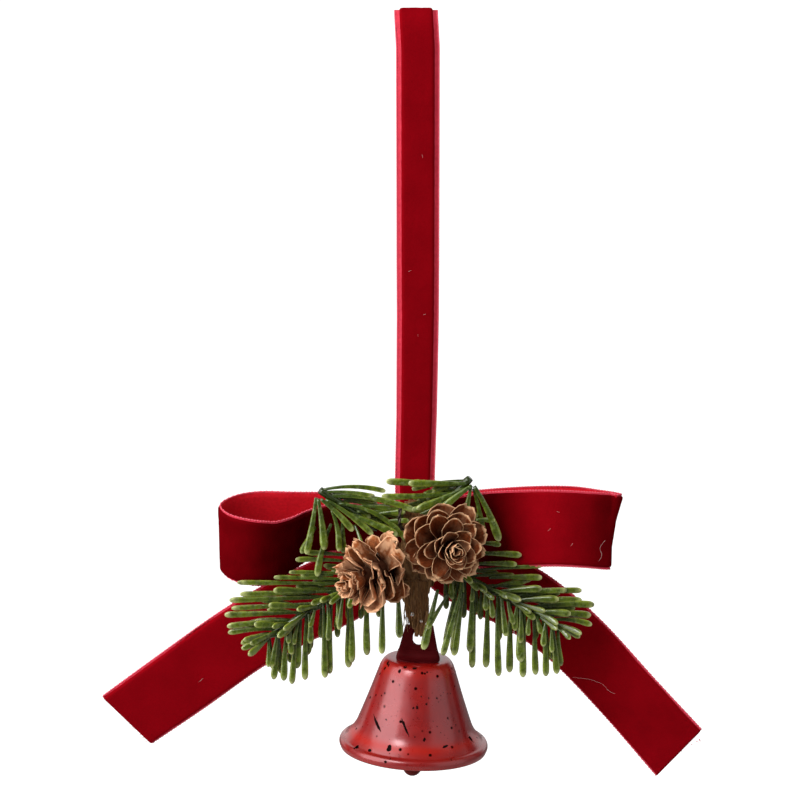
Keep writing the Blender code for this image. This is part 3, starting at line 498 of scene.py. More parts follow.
def ribbon_profile(half, inset):
    """One cross-section as (across, height) pairs, pile side first, and the material slot of each span.

    Slot 0 is the pile, 1 the selvedges and 2 the woven back.
    """
    low = SELVEDGE_THICK / 2
    edge = [(half, 0.0), (half - 0.12, low), (half - inset + 0.1, low),
            (half - inset - 0.04, low + 0.55 * PILE_HEIGHT), (half - inset - 0.30, low + 0.9 * PILE_HEIGHT)]
    face = [(x, low + PILE_HEIGHT) for x in np.linspace(-1, 1, 13) * (half - inset - 0.75)]
    back = [(x, -low) for x in np.linspace(half - 0.12, -half + 0.12, 12)]
    points = [(-x, h) for x, h in edge] + face + edge[::-1] + back
    pile = len(edge) + len(face)
    slots = [1] * 2 + [0] * pile + [1] * (len(edge) - 2) + [2] * (len(back) - 1) + [1]
    return np.array(points), slots


def ribbon(name, rows, widths, halves, looks, inset=PILE_INSET, seed=1.0, ripple=0.12,
           ends=(False, True), nap=0.5, turn=0.0, shadow=(-2, -1, 1.0), cut=0.0):
    """A velvet ribbon along rows of centres. The pile faces width x direction of travel.

    `nap` is the painted light on the pile: how bright it looks from the front. `turn` is how much painted
    shade grows where the pile faces right, away from the lamps on the left. The pile is darker near the
    middle by a
    painted shadow of the sprigs and cones: `shadow` is where that starts and ends, and how much is left.
    `cut` slants the last end by that much, and `ends` tells which ends are frayed.
    """
    centres = rows[:, :3]
    along = directions(centres)
    widths = unit(widths - along * np.sum(widths * along, axis=1, keepdims=True))
    out = unit(np.cross(widths, along))
    lengths = distances(centres)
    skin = Skin("across", "length", "nap", "bead")
    # Painted light and shade: darker where the pile faces right, away from the lamps, and a painted shadow
    # near the knot, smoothed along the ribbon.
    naps = np.clip(nap - turn * np.clip(out[:, 0], -0.2, 1.0), PAINTED_LIGHT_LEAST, 1.0)
    near, far, least = shadow
    naps = naps * np.interp(np.abs(centres[:, 0]), [near, far], [least, 1.0])
    nearby = np.exp(-((lengths[:, None] - lengths) / PAINTED_LIGHT_BLEND) ** 2)
    naps = nearby @ naps / nearby.sum(axis=1)
    wave = ripple * bumpiness(np.stack([lengths, lengths * 0, lengths * 0], 1), 0.11, seed)
    slides = -cut * np.sign(widths[:, 2]) * np.clip(1 - (lengths[-1] - lengths) / CUT_REACH, 0.0, 1.0)
    grid, crosses = [], []
    for i in range(len(centres)):
        profile, slots = ribbon_profile(halves[i], inset)
        x, h = profile.T
        spots = np.stack([np.full(len(x), lengths[i]), x, h * 0], 1)
        tufted = 0.05 * bumpiness(spots, 0.9, seed) + 0.035 * bumpiness(spots, 3.1, seed + 2)
        rolling = wave[i] * np.cos(x / max(halves[i], 1) * 1.4 + seed)
        h = h + np.where(h > SELVEDGE_THICK, tufted, 0) + rolling
        edge_wave = 0.06 * noise.noise(Vector((lengths[i] * 0.6, seed, 0)))
        place = centres[i] + np.outer(x + edge_wave, widths[i]) + np.outer(h, out[i])
        grid.append(place + np.outer(x / halves[i] * slides[i], along[i]))
        crosses.append(x)
    sides = len(crosses[0])
    skin.grid(grid, slots, around=True, caps=True, across=np.array(crosses),
              length=np.repeat(lengths, sides), nap=np.repeat(naps, sides))
    for sign in (1, -1):
        edge = centres + widths * (halves * sign)[:, None] + along * (slides * sign)[:, None]
        picot_edge(skin, edge, widths * sign, out)
    for frayed, end, sign, extra in ((ends[0], 0, -1, 0), (ends[1], -1, 1, 1)):
        if frayed:
            fray(skin, centres[end], sign * along[end], widths[end], out[end], halves[end], seed + extra)
    return skin.build(name, looks)


def picot_edge(skin, edge, outward, normal):
    """The looped thread along a selvedge."""
    rows = evenly(np.hstack([edge, outward, normal]), PICOT_PITCH / PICOT_STEPS)
    count = np.arange(len(rows))
    turns = count / PICOT_STEPS * 2 * math.pi
    reach = PICOT_REACH * (0.5 - 0.5 * np.cos(turns)) - 0.10
    slide = -0.12 * np.sin(turns)
    lift = 0.05 * np.sin(turns * 0.5)
    points = rows[:, :3] + unit(rows[:, 3:6]) * reach[:, None] + directions(rows[:, :3]) * slide[:, None]
    points = points + unit(rows[:, 6:9]) * lift[:, None]
    beads = PICOT_THREAD * (0.45 + 0.75 * (0.5 - 0.5 * np.cos(turns)))
    # The beads get a painted highlight and the gaps between them painted shade.
    tube(skin, points, beads, sides=6, slot=1, across=0.0, length=count * PICOT_PITCH / PICOT_STEPS,
         bead=-0.7 * np.cos(turns))


def fray(skin, centre, heading, width, out, half, seed):
    """Short loose threads on a cut end."""
    rng = random.Random(int(seed * 100) + 5)
    for _ in range(FRAY_THREADS):
        start = centre + width * rng.uniform(-half, half) + out * rng.uniform(-0.12, 0.45) - heading * 0.3
        reach = rng.uniform(0.25, 0.95)
        bend = width * rng.uniform(-0.35, 0.35) + out * rng.uniform(-0.25, 0.25)
        points = [start + heading * reach * t + bend * t * t * reach for t in np.linspace(0, 1, 5)]
        tube(skin, points, np.linspace(0.07, 0.03, 5), sides=4, slot=1)


def lean(degrees, turn):
    """Unit width direction of a ribbon that leans forward, turned in its own plane."""
    tilt, spin = math.radians(degrees), math.radians(turn)
    return np.array([math.sin(spin) * math.cos(tilt), -math.sin(tilt), math.cos(spin) * math.cos(tilt)])


def hanger_ribbon(looks):
    """The hanger: one ribbon up the front, over the crest, down the back, both ends glued to the bow."""
    low, high = box_of("hanging_loop")
    foot_z = box_of("hanging_loop_ends")[0][2] + 0.3
    hinge_y = place_of("bow_sway")[1]
    front, back = hinge_y - HANGER_GAP, hinge_y + HANGER_GAP
    rows = [(0, front - 0.1, foot_z), (0, front - 0.1, -126), (0, front - 0.1, -116), (0, front - 0.3, -104),
            (0, 2.9, -84), (0, -0.6, -56), (0, -2.9, -28), (0, -3.5, -12), (0, -3.3, -4.2), (0, -2.5, -1.2),
            (0, -1.0, HANGER_CREST), (0, 1.0, HANGER_CREST), (0, 2.5, -1.2), (0, 3.3, -4.2), (0, 3.8, -12),
            (0, 4.3, -28), (0, 4.9, -56), (0, 5.8, -84), (0, back + 0.3, -104), (0, back + 0.1, -116),
            (0, back + 0.1, -126), (0, back + 0.1, foot_z)]
    rows = curve_through(rows, ROW_GAP)
    rows[:, 0] += np.interp(-rows[:, 2], *HANGER_DRIFT)
    widths = np.tile(RIGHT, (len(rows), 1))
    halves = (high[0] - low[0]) / 2 - 0.24 * np.clip((-rows[:, 2] - 60) / 60, 0, 1)
    # The hanger's pile gets a middling painted light.
    piece = ribbon("hanger_ribbon", rows, widths, halves, looks, inset=HANGER_PILE_INSET, seed=3.0,
                   ends=(True, True), nap=0.60)
    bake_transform(piece)
    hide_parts("hanging_loop", "hanging_loop_ends")


def bow_loops(looks):
    """The two loops: the left one open and leaning forward, the right one flat and facing the front."""
    # Each loop's painted light, the painted shade where it faces right, and its painted shadow near the
    # knot.
    for side, control, seed, nap, turn, shadow in (("left", LEFT_LOOP, 5.0, 0.03, 1.25, (18, 31, 0.8)),
                                                   ("right", RIGHT_LOOP, 8.0, 0.80, 1.3, (21, 33, -0.06))):
        # Both loops are followed the same way round, which puts the pile on the outside.
        rows = curve_through(control, ROW_GAP)[::-1]
        widths = np.array([lean(row[3], row[4]) for row in rows])
        piece = ribbon("bow_loop_velvet_" + side, rows, widths, rows[:, 5], looks, seed=seed, ripple=0.3,
                       ends=(False, False), nap=nap, turn=turn, shadow=shadow)
        wear(piece, "bow", "bow_velvet", "bow_loop_" + side)


def bow_tails(looks):
    """The two tails, from behind the knot down and out, their lower edges further back."""
    # Each tail's painted light, and how far its end is slanted.
    for side, control, seed, nap, cut in (("left", LEFT_TAIL, 11.0, 0.72, -0.7),
                                          ("right", RIGHT_TAIL, 14.0, 0.60, 2.2)):
        rows = curve_through(control, 0.6)
        along = directions(rows[:, :3])
        flat = unit(np.cross(np.tile(TO_FRONT, (len(rows), 1)), along))
        flat *= np.sign(flat[:, 2])[:, None]
        tilt = np.radians(rows[:, 3])[:, None]
        widths = np.cos(tilt) * flat + np.sin(tilt) * TO_FRONT
        if np.cross(widths[0], along[0])[1] > 0:       # the pile would face the back
            widths = -widths
        piece = ribbon("bow_tail_velvet_" + side, rows, widths, rows[:, 4], looks, seed=seed, ripple=0.35,
                       nap=nap, cut=cut)
        body = "tail_" + side
        hinge = place_of(body + "_flap")
        start, end = (tuple((hinge + along[0] * reach) * MM) for reach in (-1.0, 9.0))
        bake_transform(piece)
        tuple(start)
        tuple(end)
        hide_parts("bow_tail_" + side)


# ---------------------------------------------------------------- sprigs

NEEDLE_SIDES = 10
NEEDLE_STATIONS = np.array([0.0, 0.06, 0.16, 0.3, 0.44, 0.58, 0.7, 0.8, 0.88, 0.93, 0.965, 0.988, 1.0])
NEEDLE_FACING = np.array([0.0, -1.0, 0.22])
STEM_GAP = 0.9           # mm between the rings of a stem
FILL_NEEDLES = 16        # ones painted dark as shade that fill a sprig from behind
FORWARD_NEEDLES = 16     # short stout ones
FRONT_RANK = 14
BACK_RANK = 12

LEFT_STEM = [(-6, -6.6, -136.5), (-18.9, -8.2, -143), (-30, -9.6, -149.4), (-39, -10.6, -155.0)]
RIGHT_STEM = [(6, -6.6, -136.0), (15.8, -8.2, -140.6), (26, -9.6, -145.6), (37.2, -10.8, -151.8)]
# Needles that sweep out past a sprig's end: share of the stem where each grows, tip (right, up), width.
SWEEP_LEFT = [
    (0.28, -44.6, -140.4, 1.3), (0.38, -43.9, -143.4, 1.4), (0.46, -46.6, -145.0, 1.5),
    (0.55, -46.1, -147.1, 1.3), (0.64, -47.8, -148.6, 1.6), (0.75, -47.1, -151.1, 1.5),
    (0.85, -46.9, -152.9, 1.5), (0.93, -43.7, -155.8, 1.6),
]
SWEEP_RIGHT = [
    (0.46, 37.7, -142.0, 1.4), (0.56, 41.5, -142.3, 1.5), (0.64, 41.5, -144.6, 1.4),
    (0.72, 44.6, -145.6, 1.8), (0.83, 43.9, -148.6, 1.7), (0.91, 44.0, -150.5, 1.5),
    (0.96, 41.1, -153.8, 1.5),
]
# Needles that hang under the stem: tip (right, up), how far the root is to its right, width.
HANG_LEFT = [
    (-35.6, -164.5, 1.4, 1.6), (-33.0, -165.0, 0.9, 1.7), (-31.0, -165.7, 1.2, 1.5),
    (-29.7, -162.0, 1.0, 1.8), (-27.7, -164.5, 0.4, 1.6), (-27.2, -158.5, 0.2, 1.9),
    (-22.7, -164.1, -0.3, 1.7), (-21.5, -163.0, 0.6, 1.5), (-22.0, -158.0, 0.2, 1.8),
    (-16.8, -162.3, 0.5, 1.8), (-16.0, -160.6, -0.4, 1.6), (-12.2, -159.0, 0.3, 1.7),
]
HANG_RIGHT = [
    (7.6, -156.4, 3.6, 1.6), (9.4, -158.4, 2.2, 1.7), (13.6, -157.8, 0.6, 1.8), (14.2, -161.6, 0.9, 1.6),
    (17.7, -161.9, 0.3, 1.7), (20.8, -163.9, -0.4, 1.6), (23.6, -163.3, 0.2, 1.7),
    (26.3, -159.8, -0.3, 2.3), (26.9, -164.1, 0.4, 1.7), (30.1, -163.5, -0.2, 1.6),
    (32.6, -163.7, -0.9, 1.6), (35.3, -162.7, -1.2, 1.7), (36.4, -160.8, -0.8, 1.5),
]
# Needles placed one by one: root, tip, width, club.
PLACED_LEFT = [
    ((-20.5, -7.5, -138.6), (-28.7, -8.0, -138.4), 1.4, 0.9),
    ((-18.0, -7.4, -139.6), (-35.4, -8.4, -138.9), 1.2, 0.6),
    ((-15.5, -7.2, -138.2), (-31.6, -8.4, -137.6), 1.1, 0.6),
    ((-17.0, -7.6, -133.4), (-27.4, -8.0, -132.6), 1.4, 0.8),
    ((-17.0, -7.6, -135.0), (-30.0, -8.2, -134.4), 1.4, 0.7),
    ((-25.0, -9.6, -142.4), (-35.4, -11.2, -141.6), 1.9, 0.8),
    ((-27.5, -10.4, -146.2), (-36.6, -12.0, -145.2), 1.9, 1.0),
    ((-31.5, -11.0, -150.6), (-40.2, -12.8, -149.8), 2.0, 1.0),
    ((-34.5, -11.4, -153.0), (-41.9, -12.8, -153.6), 1.8, 1.0),
    ((-37.0, -11.4, -154.4), (-43.4, -12.4, -156.2), 1.6, 1.0),
    ((-8.2, -10.2, -141.0), (-8.4, -14.4, -156.9), 1.7, 0.9),
    ((-4.4, -10.2, -141.5), (-4.0, -13.8, -153.0), 1.9, 1.0),
]
PLACED_RIGHT = [
    ((14.8, -7.6, -133.0), (26.4, -8.4, -133.2), 1.7, 0.6),
    ((15.0, -7.4, -135.6), (25.3, -8.2, -135.6), 1.6, 0.7),
    ((16.2, -7.2, -137.2), (31.6, -8.0, -136.0), 1.2, 0.6),
    ((16.0, -8.6, -130.2), (21.2, -9.2, -130.4), 1.5, 0.5),
    ((18.4, -7.0, -139.4), (31.6, -8.0, -139.1), 1.7, 0.9),
    ((21.0, -9.4, -142.2), (31.4, -11.4, -141.0), 1.9, 0.9),
    ((25.0, -10.2, -144.4), (35.6, -12.2, -143.6), 2.0, 1.0),
    ((29.4, -11.0, -147.2), (38.6, -12.6, -147.2), 1.9, 1.0),
    ((5.5, -11.6, -141.2), (1.9, -16.6, -155.2), 2.0, 1.0),
    ((8.2, -11.0, -142.4), (2.8, -15.4, -150.3), 1.3, 0.8),
    ((11.4, -11.0, -141.4), (6.7, -15.6, -157.0), 1.6, 0.9),
    ((11.8, -11.2, -142.0), (9.5, -14.6, -157.3), 1.9, 1.0),
]
# Needles of the folded upper sprigs: offset of the root from the apex (right, up), depth at root and tip,
# direction in degrees anticlockwise from the right, length, width, rise of the middle, club.
FAN_LEFT = [
    (0.7, 0.1, -8.6, -9.0, -1, 15.6, 1.05, 1.0, 0.3), (0.6, -0.5, -8.6, -9.2, -4, 12.6, 0.95, 0.5, 0.3),
    (1.6, -1.6, -8.4, -9.6, -8.8, 22.4, 1.35, 1.4, 0.4),
    (4.4, -3.4, -8.6, -9.8, -28, 19.4, 1.15, 2.3, 0.4),
    (1.4, -2.2, -9.4, -11.6, -35.4, 14.4, 1.3, 0.5, 0.4),
    (0.2, -2.0, -9.6, -11.4, -43.6, 11.2, 1.45, 0.4, 0.5),
    (6.4, -5.4, -10.0, -12.0, -22.4, 14.0, 1.75, 0.3, 0.8),
    (8.6, -8.6, -9.4, -13.0, -68.6, 6.0, 0.9, 0.2, 0.2),
    (3.0, -4.8, -9.6, -10.6, -80.4, 10.4, 1.4, 0.6, 0.6),
    (-0.4, -2.0, -9.4, -10.6, -83, 12.8, 1.7, 0.2, 0.9),
    (-0.9, -1.8, -9.2, -9.8, -100, 14.4, 1.55, 0.2, 0.7),
    (2.8, -8.6, -8.4, -8.8, -105, 13.8, 1.5, -0.5, 0.8),
    (-1.2, -9.6, -7.4, -7.6, -118, 7.6, 1.5, 0.0, 0.7),
    (5.6, -8.2, -8.6, -9.2, -88.5, 7.6, 1.4, 0.0, 0.5),
    (9.8, -4.2, -8.2, -8.6, -7.5, 11.6, 1.3, 0.5, 0.5),
    (13.8, -6.2, -8.4, -9.2, 6.0, 7.4, 1.15, 0.2, 0.4),
    (16.0, -7.8, -9.2, -9.8, 3.0, 6.2, 1.15, 0.1, 0.4),
    (9.2, -5.6, -8.0, -8.4, -3.0, 11.0, 1.2, 0.4, 0.4),
]
FAN_RIGHT = [
    (-0.9, -1.2, -9.2, -9.6, 179.2, 14.4, 1.6, 0.0, 0.7),
    (-2.4, -1.5, -8.2, -8.6, 177.6, 18.4, 1.45, 0.1, 0.6),
    (-1.6, -3.5, -8.2, -8.8, 183.0, 20.4, 1.35, 0.4, 0.4),
    (0.4, -1.6, -9.6, -11.4, 216.4, 9.4, 1.6, -0.2, 0.6),
    (-1.5, -2.4, -8.8, -10.4, 202.8, 12.8, 1.45, 0.2, 0.5),
    (0.2, -1.8, -9.4, -10.6, 258.7, 7.0, 1.2, 0.0, 0.4),
    (1.0, -1.8, -9.4, -10.6, -65.4, 15.0, 1.75, 0.5, 0.8),
    (-1.8, -9.2, -9.0, -9.6, 0.0, 3.8, 1.4, 0.0, 0.5),
    (1.4, -10.2, -9.8, -10.4, 0.0, 4.8, 1.2, 0.0, 0.3),
    (0.8, -2.6, -8.6, -9.2, -78.0, 13.0, 1.3, 0.3, 0.6),
    (-6.2, -5.8, -9.6, -10.4, 192.0, 8.4, 1.3, 0.2, 0.4),
    (-3.0, -4.8, -8.8, -9.6, 190.0, 9.0, 1.3, 0.3, 0.4),
]


def needle(skin, root, tip, width, shade, arch=(0.0, 0.0, 0.0), club=1.0):
    """One moulded needle from root to tip: narrow at its root, with a groove along its face.

    `arch` moves its middle, and `club` is how far it widens towards its blunt end.
    """
    root, tip = np.asarray(root, float), np.asarray(tip, float)
    t = NEEDLE_STATIONS
    line = root + np.outer(t, tip - root) + np.outer(4 * t * (1 - t), arch)
    swell = (0.62 - 0.20 * club) + (0.38 + 0.20 * club) * np.clip(t / 0.78, 0, 1) ** 1.4
    blunt = min(max(1 - 0.85 * width / np.linalg.norm(tip - root), 0.72), 0.94)
    swell *= np.sqrt(np.clip(1 - np.clip((t - blunt) / (1.005 - blunt), 0, 1) ** 2.0, 0.02, 1))
    swell[0] *= 0.9
    angle = np.linspace(0, 2 * math.pi, NEEDLE_SIDES, endpoint=False)
    rows = []
    for middle, ahead, grown in zip(line, directions(line), swell):
        out = unit(NEEDLE_FACING - ahead * np.dot(NEEDLE_FACING, ahead))
        wide = width / 2 * grown
        thick = 0.32 * width * (0.7 + 0.3 * grown) * min(1.0, grown / 0.3)
        x = wide * np.cos(angle)
        groove = 0.55 * thick * np.exp(-((x / (0.34 * wide + 1e-6)) ** 2)) * (np.sin(angle) > 0.2)
        y = thick * np.sin(angle) - groove
        rows.append(middle + np.outer(x, np.cross(ahead, out)) + np.outer(y, out))
    skin.grid(rows, around=True, caps=True, tip=np.repeat(t, NEEDLE_SIDES), shade=shade,
              rim=np.tile(np.abs(np.cos(angle)), len(t)))


def stem(skin, path, radius_start, radius_end, seed):
    path = curve_through(path, STEM_GAP)
    radii = np.linspace(radius_start, radius_end, len(path)) * (1 + 0.15 * bumpiness(path, 0.7, seed))
    tube(skin, path, radii, sides=10, tip=0.15, rim=0.1, shade=0.2)
    return path


def lower_sprig(side, corners, sweeping, hanging, placed, look, seed):
    """A lower sprig: long needles sweep out past its end, and others hang straight down under it."""
    rng = random.Random(seed)
    skin = Skin("tip", "rim", "shade")
    path = stem(skin, corners, 1.1, 0.7, seed)
    outward = math.copysign(1.0, path[-1][0])
    nearness = np.abs(path[:, 0])

    def at(share):
        return path[int(round(min(max(share, 0.0), 1.0) * (len(path) - 1)))]

    def below(right):
        return np.array([np.interp(abs(right), nearness, path[:, k]) for k in range(3)])

    def shares(first, count, jitter):
        """Uneven shares of the stem, one for each needle of a rank."""
        for k in range(count):
            yield first + 0.84 * k / (count - 1) + rng.uniform(-jitter, jitter)

    # The back rank sweeps outward, its tips nearly in one upright line.
    for share, right, up, width in sweeping:
        root = at(share) + np.array([0, rng.uniform(0.3, 1.2), rng.uniform(0.0, 0.6)])
        tip = np.array([right, root[1] + rng.uniform(-1.6, 0.4), up])
        needle(skin, root, tip, width, rng.random(), (0, 0, rng.uniform(-0.1, 0.7)), rng.uniform(0.5, 0.9))
    # Needles behind them fill the sprig, painted dark as shade.
    for _ in range(FILL_NEEDLES):
        root = at(rng.uniform(0.10, 0.85)) + np.array([0, rng.uniform(1.2, 2.0), 0.3])
        heading = np.array([outward, 0.05, rng.uniform(-0.22, 0.20)])
        needle(skin, root, root + unit(heading) * rng.uniform(8.0, 12.5), 1.3, 0.0, (0, 0, 0.3), 0.5)
    # Short stout ones come forward off the stem, at no regular angle.
    for share in shares(0.10, FORWARD_NEEDLES, 0.035):
        root = at(share) + np.array([0, -0.8, rng.uniform(-0.4, 0.5)])
        heading = np.array([outward, rng.uniform(-0.85, -0.35), rng.uniform(-0.75, 0.12) - 0.25 * share])
        tip = root + unit(heading) * rng.uniform(4.6, 8.4)
        needle(skin, root, tip, rng.uniform(1.35, 1.85), rng.random(), (0, 0, rng.uniform(-0.2, 0.5)),
               rng.uniform(0.7, 1.0))
    for right, up, off, width in hanging:
        deep = rng.uniform(-1.4, 0.9)
        root = below(right + off) + np.array([0, deep * 0.6, -0.2])
        tip = np.array([right, root[1] + deep * 0.5 - 0.6, up + rng.uniform(-0.3, 0.3)])
        needle(skin, root, tip, width * 1.06, 0.1 + 0.9 * rng.random(), (rng.uniform(-0.3, 0.3), 0, 0),
               rng.uniform(0.85, 1.05))
    # A shorter rank hangs in front of the long one, and one painted dark as shade behind it.
    for share in shares(0.08, FRONT_RANK, 0.04):
        root = at(share) + np.array([0, -1.2, -0.3])
        heading = [outward * rng.uniform(-0.12, 0.34), rng.uniform(-0.4, -0.15), -1.0]
        tip = root + unit(heading) * rng.uniform(4.5, 10.0)
        needle(skin, root, tip, rng.uniform(1.3, 1.8), rng.random(), (rng.uniform(-0.3, 0.3), 0, 0),
               rng.uniform(0.7, 1.0))
    for share in shares(0.06, BACK_RANK, 0.04):
        root = at(share) + np.array([0, 1.5, -0.3])
        reach = np.array([outward * rng.uniform(-1.0, 1.6), 0.2, -rng.uniform(7.0, 12.0)])
        needle(skin, root, root + reach, 1.5, 0.1, club=0.8)
    for root, tip, width, club in placed:
        shaded = root[2] > -138 and outward < 0      # under the left upper sprig
        lit = rng.random() * (0.35 if shaded else 1.0)
        needle(skin, root, tip, width, lit, (0, 0, rng.uniform(0.0, 0.4)), club)
    wear(skin.build("fir_sprig_lower_" + side, [look]), "bow", "sprig_green", "sprig_lower_" + side)


def upper_sprig(side, apex, knot, fan, filler, look, seed):
    """A folded upper sprig. Its needles leave the cut end at the apex and sweep inward and down.

    `filler` is the range of directions of the needles behind the fan, which are painted dark as shade, and
    which way is inward.
    """
    rng = random.Random(seed)
    skin = Skin("tip", "rim", "shade")
    apex, knot = np.array(apex, float), np.array(knot, float)
    stem(skin, [apex, apex * 0.55 + knot * 0.45, knot], 1.0, 1.1, seed)
    for right, up, near, far, degrees, length, width, rise, club in fan:
        root = np.array([apex[0] + right, near, apex[2] + up])
        turn = math.radians(degrees)
        tip = np.array([root[0] + length * math.cos(turn), far, root[2] + length * math.sin(turn)])
        bend = np.array([-math.sin(turn), 0, math.cos(turn)]) * rise
        # The fan's needles get a bright painted light level.
        needle(skin, root, tip, width * 1.2, 0.7 + 0.5 * rng.random(), bend, club)
    low, high, inward = filler
    for _ in range(FILL_NEEDLES):
        root = apex + (knot - apex) * rng.uniform(0.1, 0.8) + np.array([0, rng.uniform(0.3, 1.4), 0])
        turn = math.radians(rng.uniform(low, high))
        length = rng.uniform(8.0, 14.0)
        right, up = inward * length * math.cos(turn), length * math.sin(turn)
        tip = root + np.array([right, rng.uniform(-0.6, 0.8), up])
        needle(skin, root, tip, rng.uniform(1.1, 1.4), rng.random() * 0.5, (0, 0, rng.uniform(0, 0.8)), 0.5)
    wear(skin.build("fir_sprig_upper_" + side, [look]), "bow", "sprig_green", "sprig_upper_" + side)


def sprigs():
    look = needle_plastic()
    lower_sprig("left", LEFT_STEM, SWEEP_LEFT, HANG_LEFT, PLACED_LEFT, look, 21)
    lower_sprig("right", RIGHT_STEM, SWEEP_RIGHT, HANG_RIGHT, PLACED_RIGHT, look, 22)
    upper_sprig("left", (-23.8, -8.4, -116.6), (-9.5, -6.4, -126.8), FAN_LEFT, (-34.0, 2.0, 1.0), look, 31)
    upper_sprig("right", (13.5, -8.4, -113.6), (5.0, -6.4, -122.6), FAN_RIGHT, (-30.0, 0.0, -1.0), look, 32)


# ---------------------------------------------------------------- cones

GOLDEN = math.radians(137.508)
SCALE_ACROSS, SCALE_ALONG = 11, 9        # points across and along a scale


def scale_leaf(skin, attach, out, axis, length, width, opening, curl, cup, rng, shade, ragged):
    """One woody scale: a thin cupped fan with a wavy rim, closed all round."""
    across = np.cross(axis, out)
    seed = rng.uniform(0, 50)
    twist = rng.uniform(-0.25, 0.25) * (1 + ragged)
    rows, rims, painted_root_shades, sides, reaches = [], [], [], [], []
    spine = attach.copy()
    for b in np.linspace(0, 1, SCALE_ALONG):
        angle = opening + curl * (b - 0.25)
        heading = math.sin(angle) * out + math.cos(angle) * axis
        inward = unit(np.cross(across, heading))
        inward = inward if inward.dot(axis) > 0 or inward.dot(-out) > 0 else -inward
        if b > 0:
            spine = spine + heading * length / (SCALE_ALONG - 1)
        close = math.sqrt(max(1 - max((b - 0.58) / 0.44, 0) ** 2.6, 0.03))
        wide = width / 2 * min(0.38 + b, 1.0) * close
        face, back, rim_row = [], [], []
        spots = np.linspace(-1, 1, SCALE_ACROSS)
        for a in spots:
            rim = max(a * a, b * b)
            wave = noise.noise(Vector((a * 1.5 + seed, b * 1.7, seed)))
            ripple = noise.noise(Vector((a * 4.5 + seed, b * 4.0, seed + 9)))
            uneven = (0.75 * wave + 0.35 * ripple) * rim * width * (0.13 + 0.17 * ragged)
            lift = cup * a * a * wide + uneven + twist * a * b * wide * 0.6
            stretch = 1 + (0.10 + 0.12 * ragged) * ripple * b
            push = (0.10 * wave + 0.07 * ripple) * (0.8 + 0.9 * ragged) * length * rim
            point = spine + across * (a * wide * stretch) + inward * lift + heading * push
            face.append(point)
            back.append(point - inward * (0.24 - 0.12 * rim))
            rim_row.append(rim)
        rows.append(face + back[::-1])
        rims.append(there_and_back(rim_row))
        # Painted shade, darkest at the root of the scale.
        painted_root_shades.append([max(0.0, 1.0 - 1.04 * b) ** 0.75] * 2 * SCALE_ACROSS)
        sides.append(there_and_back(spots))
        reaches.append([b * 3] * 2 * SCALE_ACROSS)
    skin.grid(rows, around=True, caps=True, rim=rims, depth=painted_root_shades, side=sides, reach=reaches, shade=shade)


def cone(side, base, axis, length, radius, count, openness, curls, spread, look, seed, wild):
    """A small larch cone: scales on a golden-angle spiral round a core.

    `openness` is the angle of the lowest scales and `curls` the range of their curl, in degrees.
    `spread` widens the scales, and `wild` is how worn and irregular they are.
    """
    rng = random.Random(seed)
    skin = Skin("rim", "depth", "shade", "side", "reach")
    base, axis = np.array(base, float), unit(axis)
    first = unit(np.cross(axis, [0.2, 0.1, 1.0]))
    second = np.cross(axis, first)
    shares = np.linspace(0, 0.92, 9)
    core = np.maximum(radius * 0.30 * np.sin(math.pi * np.minimum(0.25 + 0.72 * shares, 1.0)), 0.3)
    # The core is painted dark as shade.
    tube(skin, base + np.outer(shares, axis) * length, core, sides=12, depth=0.9)
    for n in range(count):
        t = n / (count - 1)
        angle = n * GOLDEN + rng.uniform(-0.16, 0.16) * (1 + wild)
        out = math.cos(angle) * first + math.sin(angle) * second
        height = length * (0.04 + 0.80 * t**0.9)
        attach = base + axis * height + out * radius * 0.16 * (1 - t)
        opening = math.radians(openness * (1 - t) ** 0.75 + 7) + rng.uniform(-0.12, 0.12) * (1 + wild)
        reach = radius * (1.0 - 0.62 * t**1.2) * rng.uniform(0.88, 1.04)
        reach /= max(math.sin(max(opening, 0.9)), 0.6)
        if t < 0.12:
            reach *= 0.86
        width = radius * spread * (0.84 - 0.58 * t) * rng.uniform(0.82, 1.12)
        curl = math.radians(rng.uniform(*curls) * (1 - t) + wild * rng.uniform(-25, 60) * (1 - t))
        scale_leaf(skin, attach, out, axis, reach, width, opening, curl, 0.34 + 0.16 * t, rng,
                   rng.random() * (0.55 + 0.45 * wild) + 0.2 * t, max(wild - 0.35, 0.0) * 1.5)
    wear(skin.build("larch_cone_" + side, [look]), "bow", "cone_brown", "cone_" + side)


def cones():
    fresh = cone_wood("cone_scales_fresh", dark=(0.005, 0.001, 0.0005), mid=(0.225, 0.050, 0.012),
                      pale=(1.0, 0.60, 0.33), worn=0.20)
    weathered = cone_wood("cone_scales_weathered", dark=(0.008, 0.002, 0.001), mid=(0.35, 0.096, 0.026),
                          pale=(0.96, 0.54, 0.30), worn=0.72)
    cone("right", (5.2, -12.4, -127.5), (0.30, -0.96, -0.02), length=14.5, radius=9.9, count=44,
         openness=70, curls=(-6, 22), spread=1.0, look=fresh, seed=41, wild=0.35)
    cone("left", (-5.4, -16.0, -133.6), (-0.76, -0.60, -0.20), length=15.5, radius=9.2, count=42,
         openness=74, curls=(5, 38), spread=1.16, look=weathered, seed=52, wild=1.0)


# ---------------------------------------------------------------- bell

SHELL_THICK = 0.8
CROWN_RISE = 3.3         # mm from the clapper's upper hinge to the crown's outer face
BELL_SIDES = 128
BELL_PIVOT = place_of("bell_swing")
BELL_RIGHT = unit(JOINTS["clapper_link_swing"]["axis"])
BELL_UP = unit([-BELL_RIGHT[2], 0.0, BELL_RIGHT[0]])
BELL_AWAY = np.array([0.0, 1.0, 0.0])
CLAPPER_TOP = place_of("clapper_link_swing") - BELL_PIVOT
